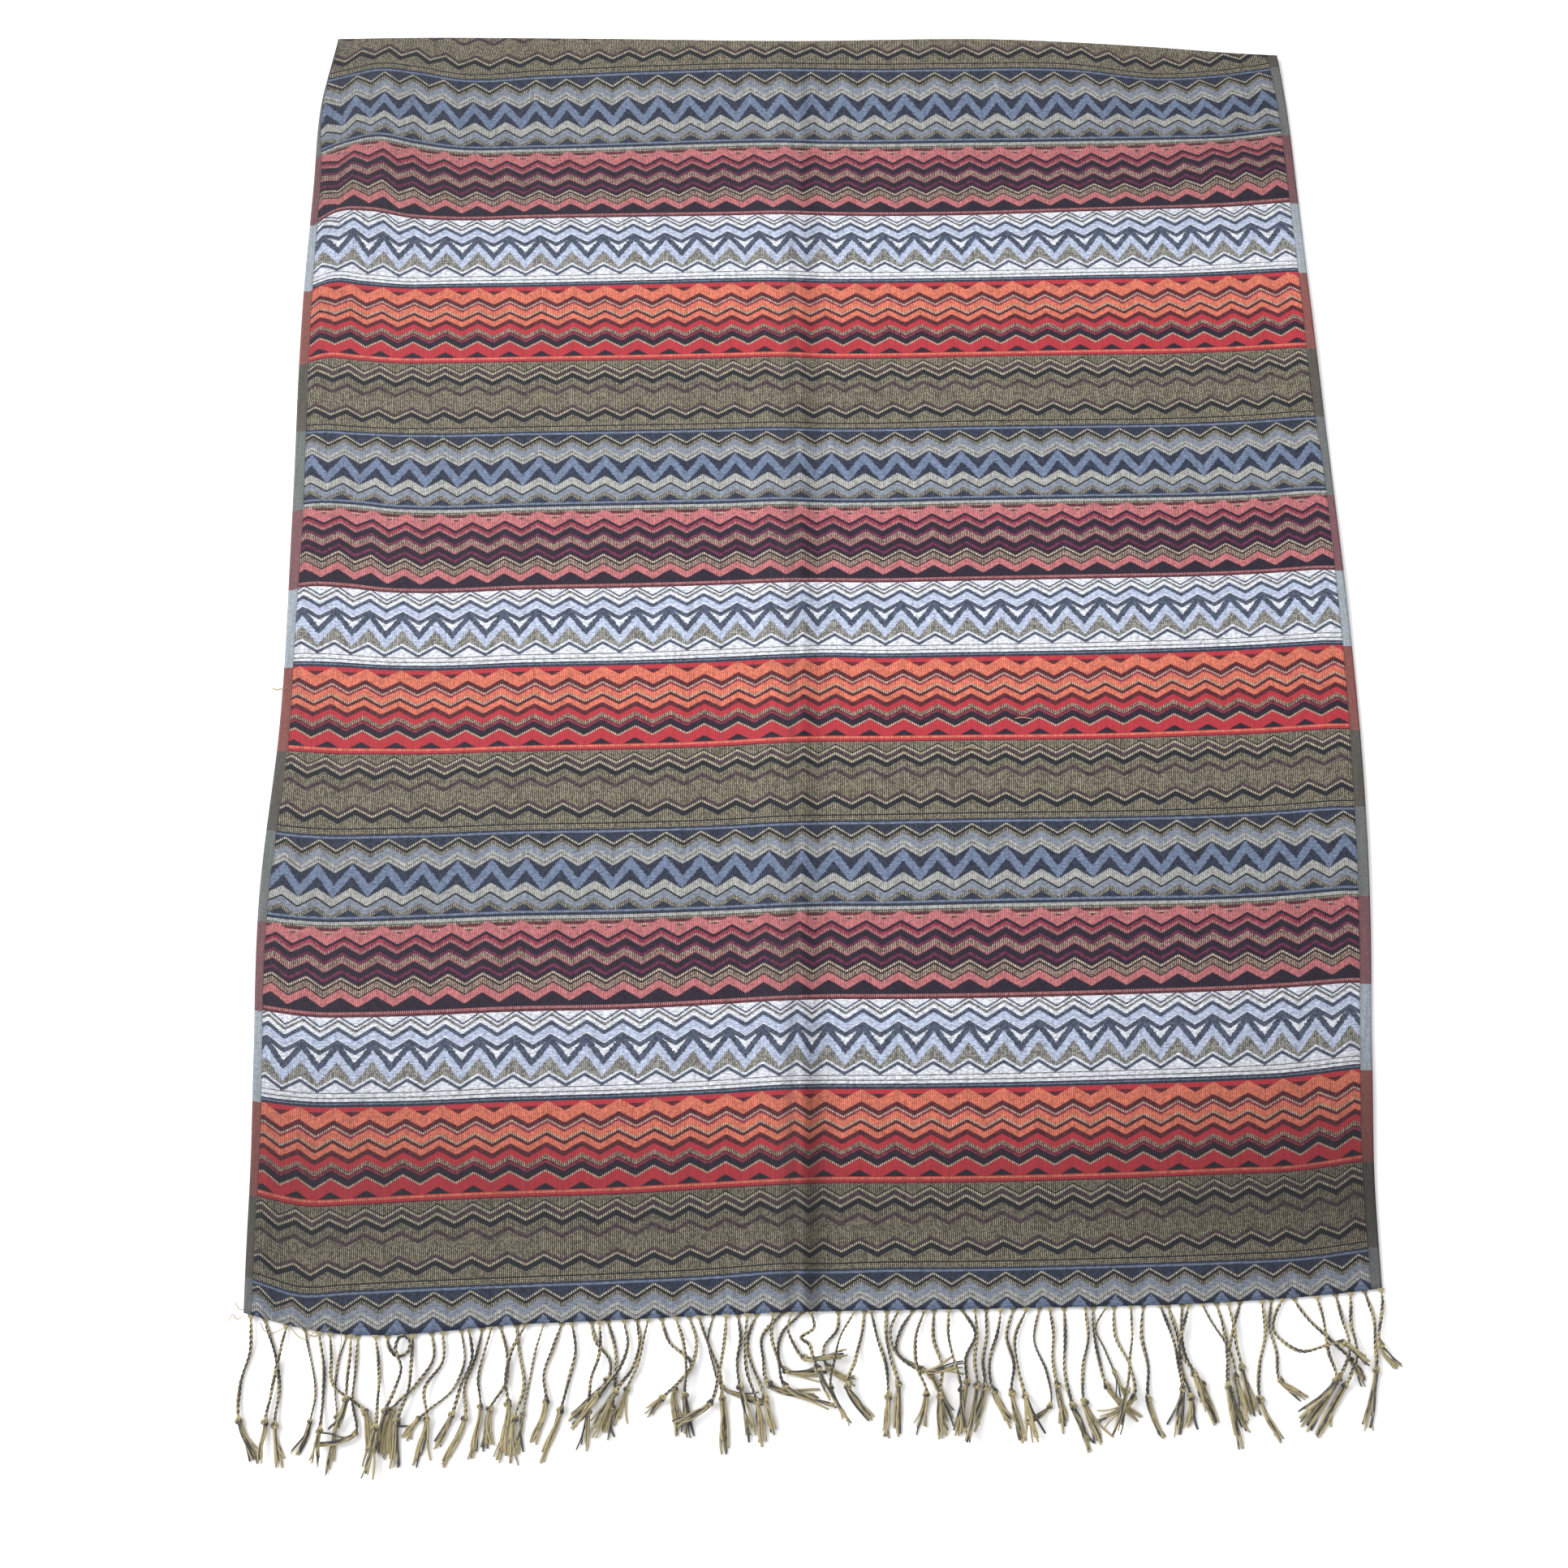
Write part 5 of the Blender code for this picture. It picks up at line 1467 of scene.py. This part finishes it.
class SHAWL_OT_fringes(bpy.types.Operator):
    """Twists, knots and tassels of both ends, and what goes with each sheet"""
    bl_idname = "shawl.fringes"
    bl_label = "Fringes"

    def execute(self, context):
        cloth, fringe = context.scene.shawl_cloth, context.scene.shawl_fringe
        looks = (fringe_yarn("two_ply_viscose", fringe, 0.55), fringe_yarn("tassel_viscose", fringe, 0.5))
        under, upper = seated_twists(cloth)
        under_pieces = make_fringe("under_fringe", under, fringe, looks, UNDER_SEED)
        upper_pieces = make_fringe("upper_fringe", upper, fringe, looks, UPPER_SEED)
        return {"FINISHED"}


class SHAWL_OT_loose_yarns(bpy.types.Operator):
    """Stray yarn ends at the hem and on the cloth"""
    bl_idname = "shawl.loose_yarns"
    bl_label = "Loose yarns"

    def execute(self, context):
        groups = []
        for radius, points in LOOSE_YARNS:
            spots = np.array(points, dtype=float) * MM
            plan, _ = through(spots[:, :2], LOOSE_POINTS)
            rise = np.interp(np.linspace(0, 1, LOOSE_POINTS), np.linspace(0, 1, len(spots)), spots[:, 2])
            path = np.concatenate((plan, rise[:, None]), axis=1)
            radii = np.full((1, LOOSE_POINTS), radius * MM)
            groups.append((path[None], radii, THIN_SIDES, np.zeros((1, LOOSE_POINTS))))
        make_tubes("loose_yarns", groups, loose_yarn(context.scene.shawl_fringe))
        return {"FINISHED"}


class SHAWL_OT_stage(bpy.types.Operator):
    """Pale floor, soft studio light and the camera at the photograph's angle"""
    bl_idname = "shawl.stage"
    bl_label = "Stage"

    def execute(self, context):
        stage = context.scene.shawl_stage
        corners = [(x * FLOOR_HALF, y * FLOOR_HALF, 0) for x in (-1, 1) for y in (-1, 1)]
        mesh = bpy.data.meshes.new("floor")
        mesh.from_pydata(corners, [], grid_faces(2, 2).tolist())
        mesh.materials.append(pale_floor(stage))
        floor = add_object("floor", mesh)
        world = bpy.data.worlds.new("studio")
        world.use_nodes = True
        sky = world.node_tree.nodes["Background"].inputs
        sky["Color"].default_value = (1, 1, 1, 1)
        sky["Strength"].default_value = stage.sky
        context.scene.world = world
        lamp = bpy.data.lights.new("soft_lamp", "AREA")
        lamp.size = LAMP_WIDTH
        lamp.energy = stage.lamp
        lit = add_object("soft_lamp", lamp)
        lit.location = LAMP_AT
        lit.rotation_euler = Vector(LAMP_AT).to_track_quat("Z", "Y").to_euler()
        lens = bpy.data.cameras.new("photo_view")
        lens.lens = CAMERA_LENS
        lens.sensor_width = CAMERA_SENSOR
        lens.sensor_fit = "HORIZONTAL"
        eye = add_object("photo_view", lens)
        eye.location = (CAMERA_AIM[0], CAMERA_Y, CAMERA_Z)
        eye.rotation_euler = (CAMERA_TILT, 0, 0)
        context.scene.camera = eye
        context.scene.view_settings.view_transform = "Standard"
        return {"FINISHED"}


class SHAWL_PT_sidebar(bpy.types.Panel):
    """Lists the shawl's sizes, colours and pieces"""
    bl_idname = "SHAWL_PT_sidebar"
    bl_label = "Folded shawl"
    bl_space_type = "VIEW_3D"
    bl_region_type = "UI"
    bl_category = "Shawl"

    def draw(self, context):
        for group in GROUPS:
            settings = getattr(context.scene, group)
            for name in settings.bl_rna.properties.keys():
                if name not in ("rna_type", "name"):
                    self.layout.prop(settings, name)
        for step in STEPS:
            self.layout.operator(step.bl_idname)


GROUPS = {"shawl_cloth": ShawlCloth, "shawl_yarns": ShawlYarns, "shawl_fringe": ShawlFringe,
          "shawl_stage": ShawlStage}
STEPS = (SHAWL_OT_under_cloth, SHAWL_OT_upper_cloth, SHAWL_OT_fringes, SHAWL_OT_loose_yarns,
         SHAWL_OT_stage)


def register():
    """Registers the classes and hangs their settings on the scene."""
    for kind in (*GROUPS.values(), *STEPS, SHAWL_PT_sidebar):
        bpy.utils.register_class(kind)
    for name, kind in GROUPS.items():
        setattr(bpy.types.Scene, name, bpy.props.PointerProperty(type=kind))


def unregister():
    """Takes the settings and the classes away again."""
    for name in GROUPS:
        delattr(bpy.types.Scene, name)
    for kind in (SHAWL_PT_sidebar, *reversed(STEPS), *reversed(list(GROUPS.values()))):
        bpy.utils.unregister_class(kind)


def main():
    """Makes every piece in order."""
    register()
    for step in STEPS:
        module, name = step.bl_idname.split(".")
        getattr(getattr(bpy.ops, module), name)()


if __name__ == "__main__":
    main()
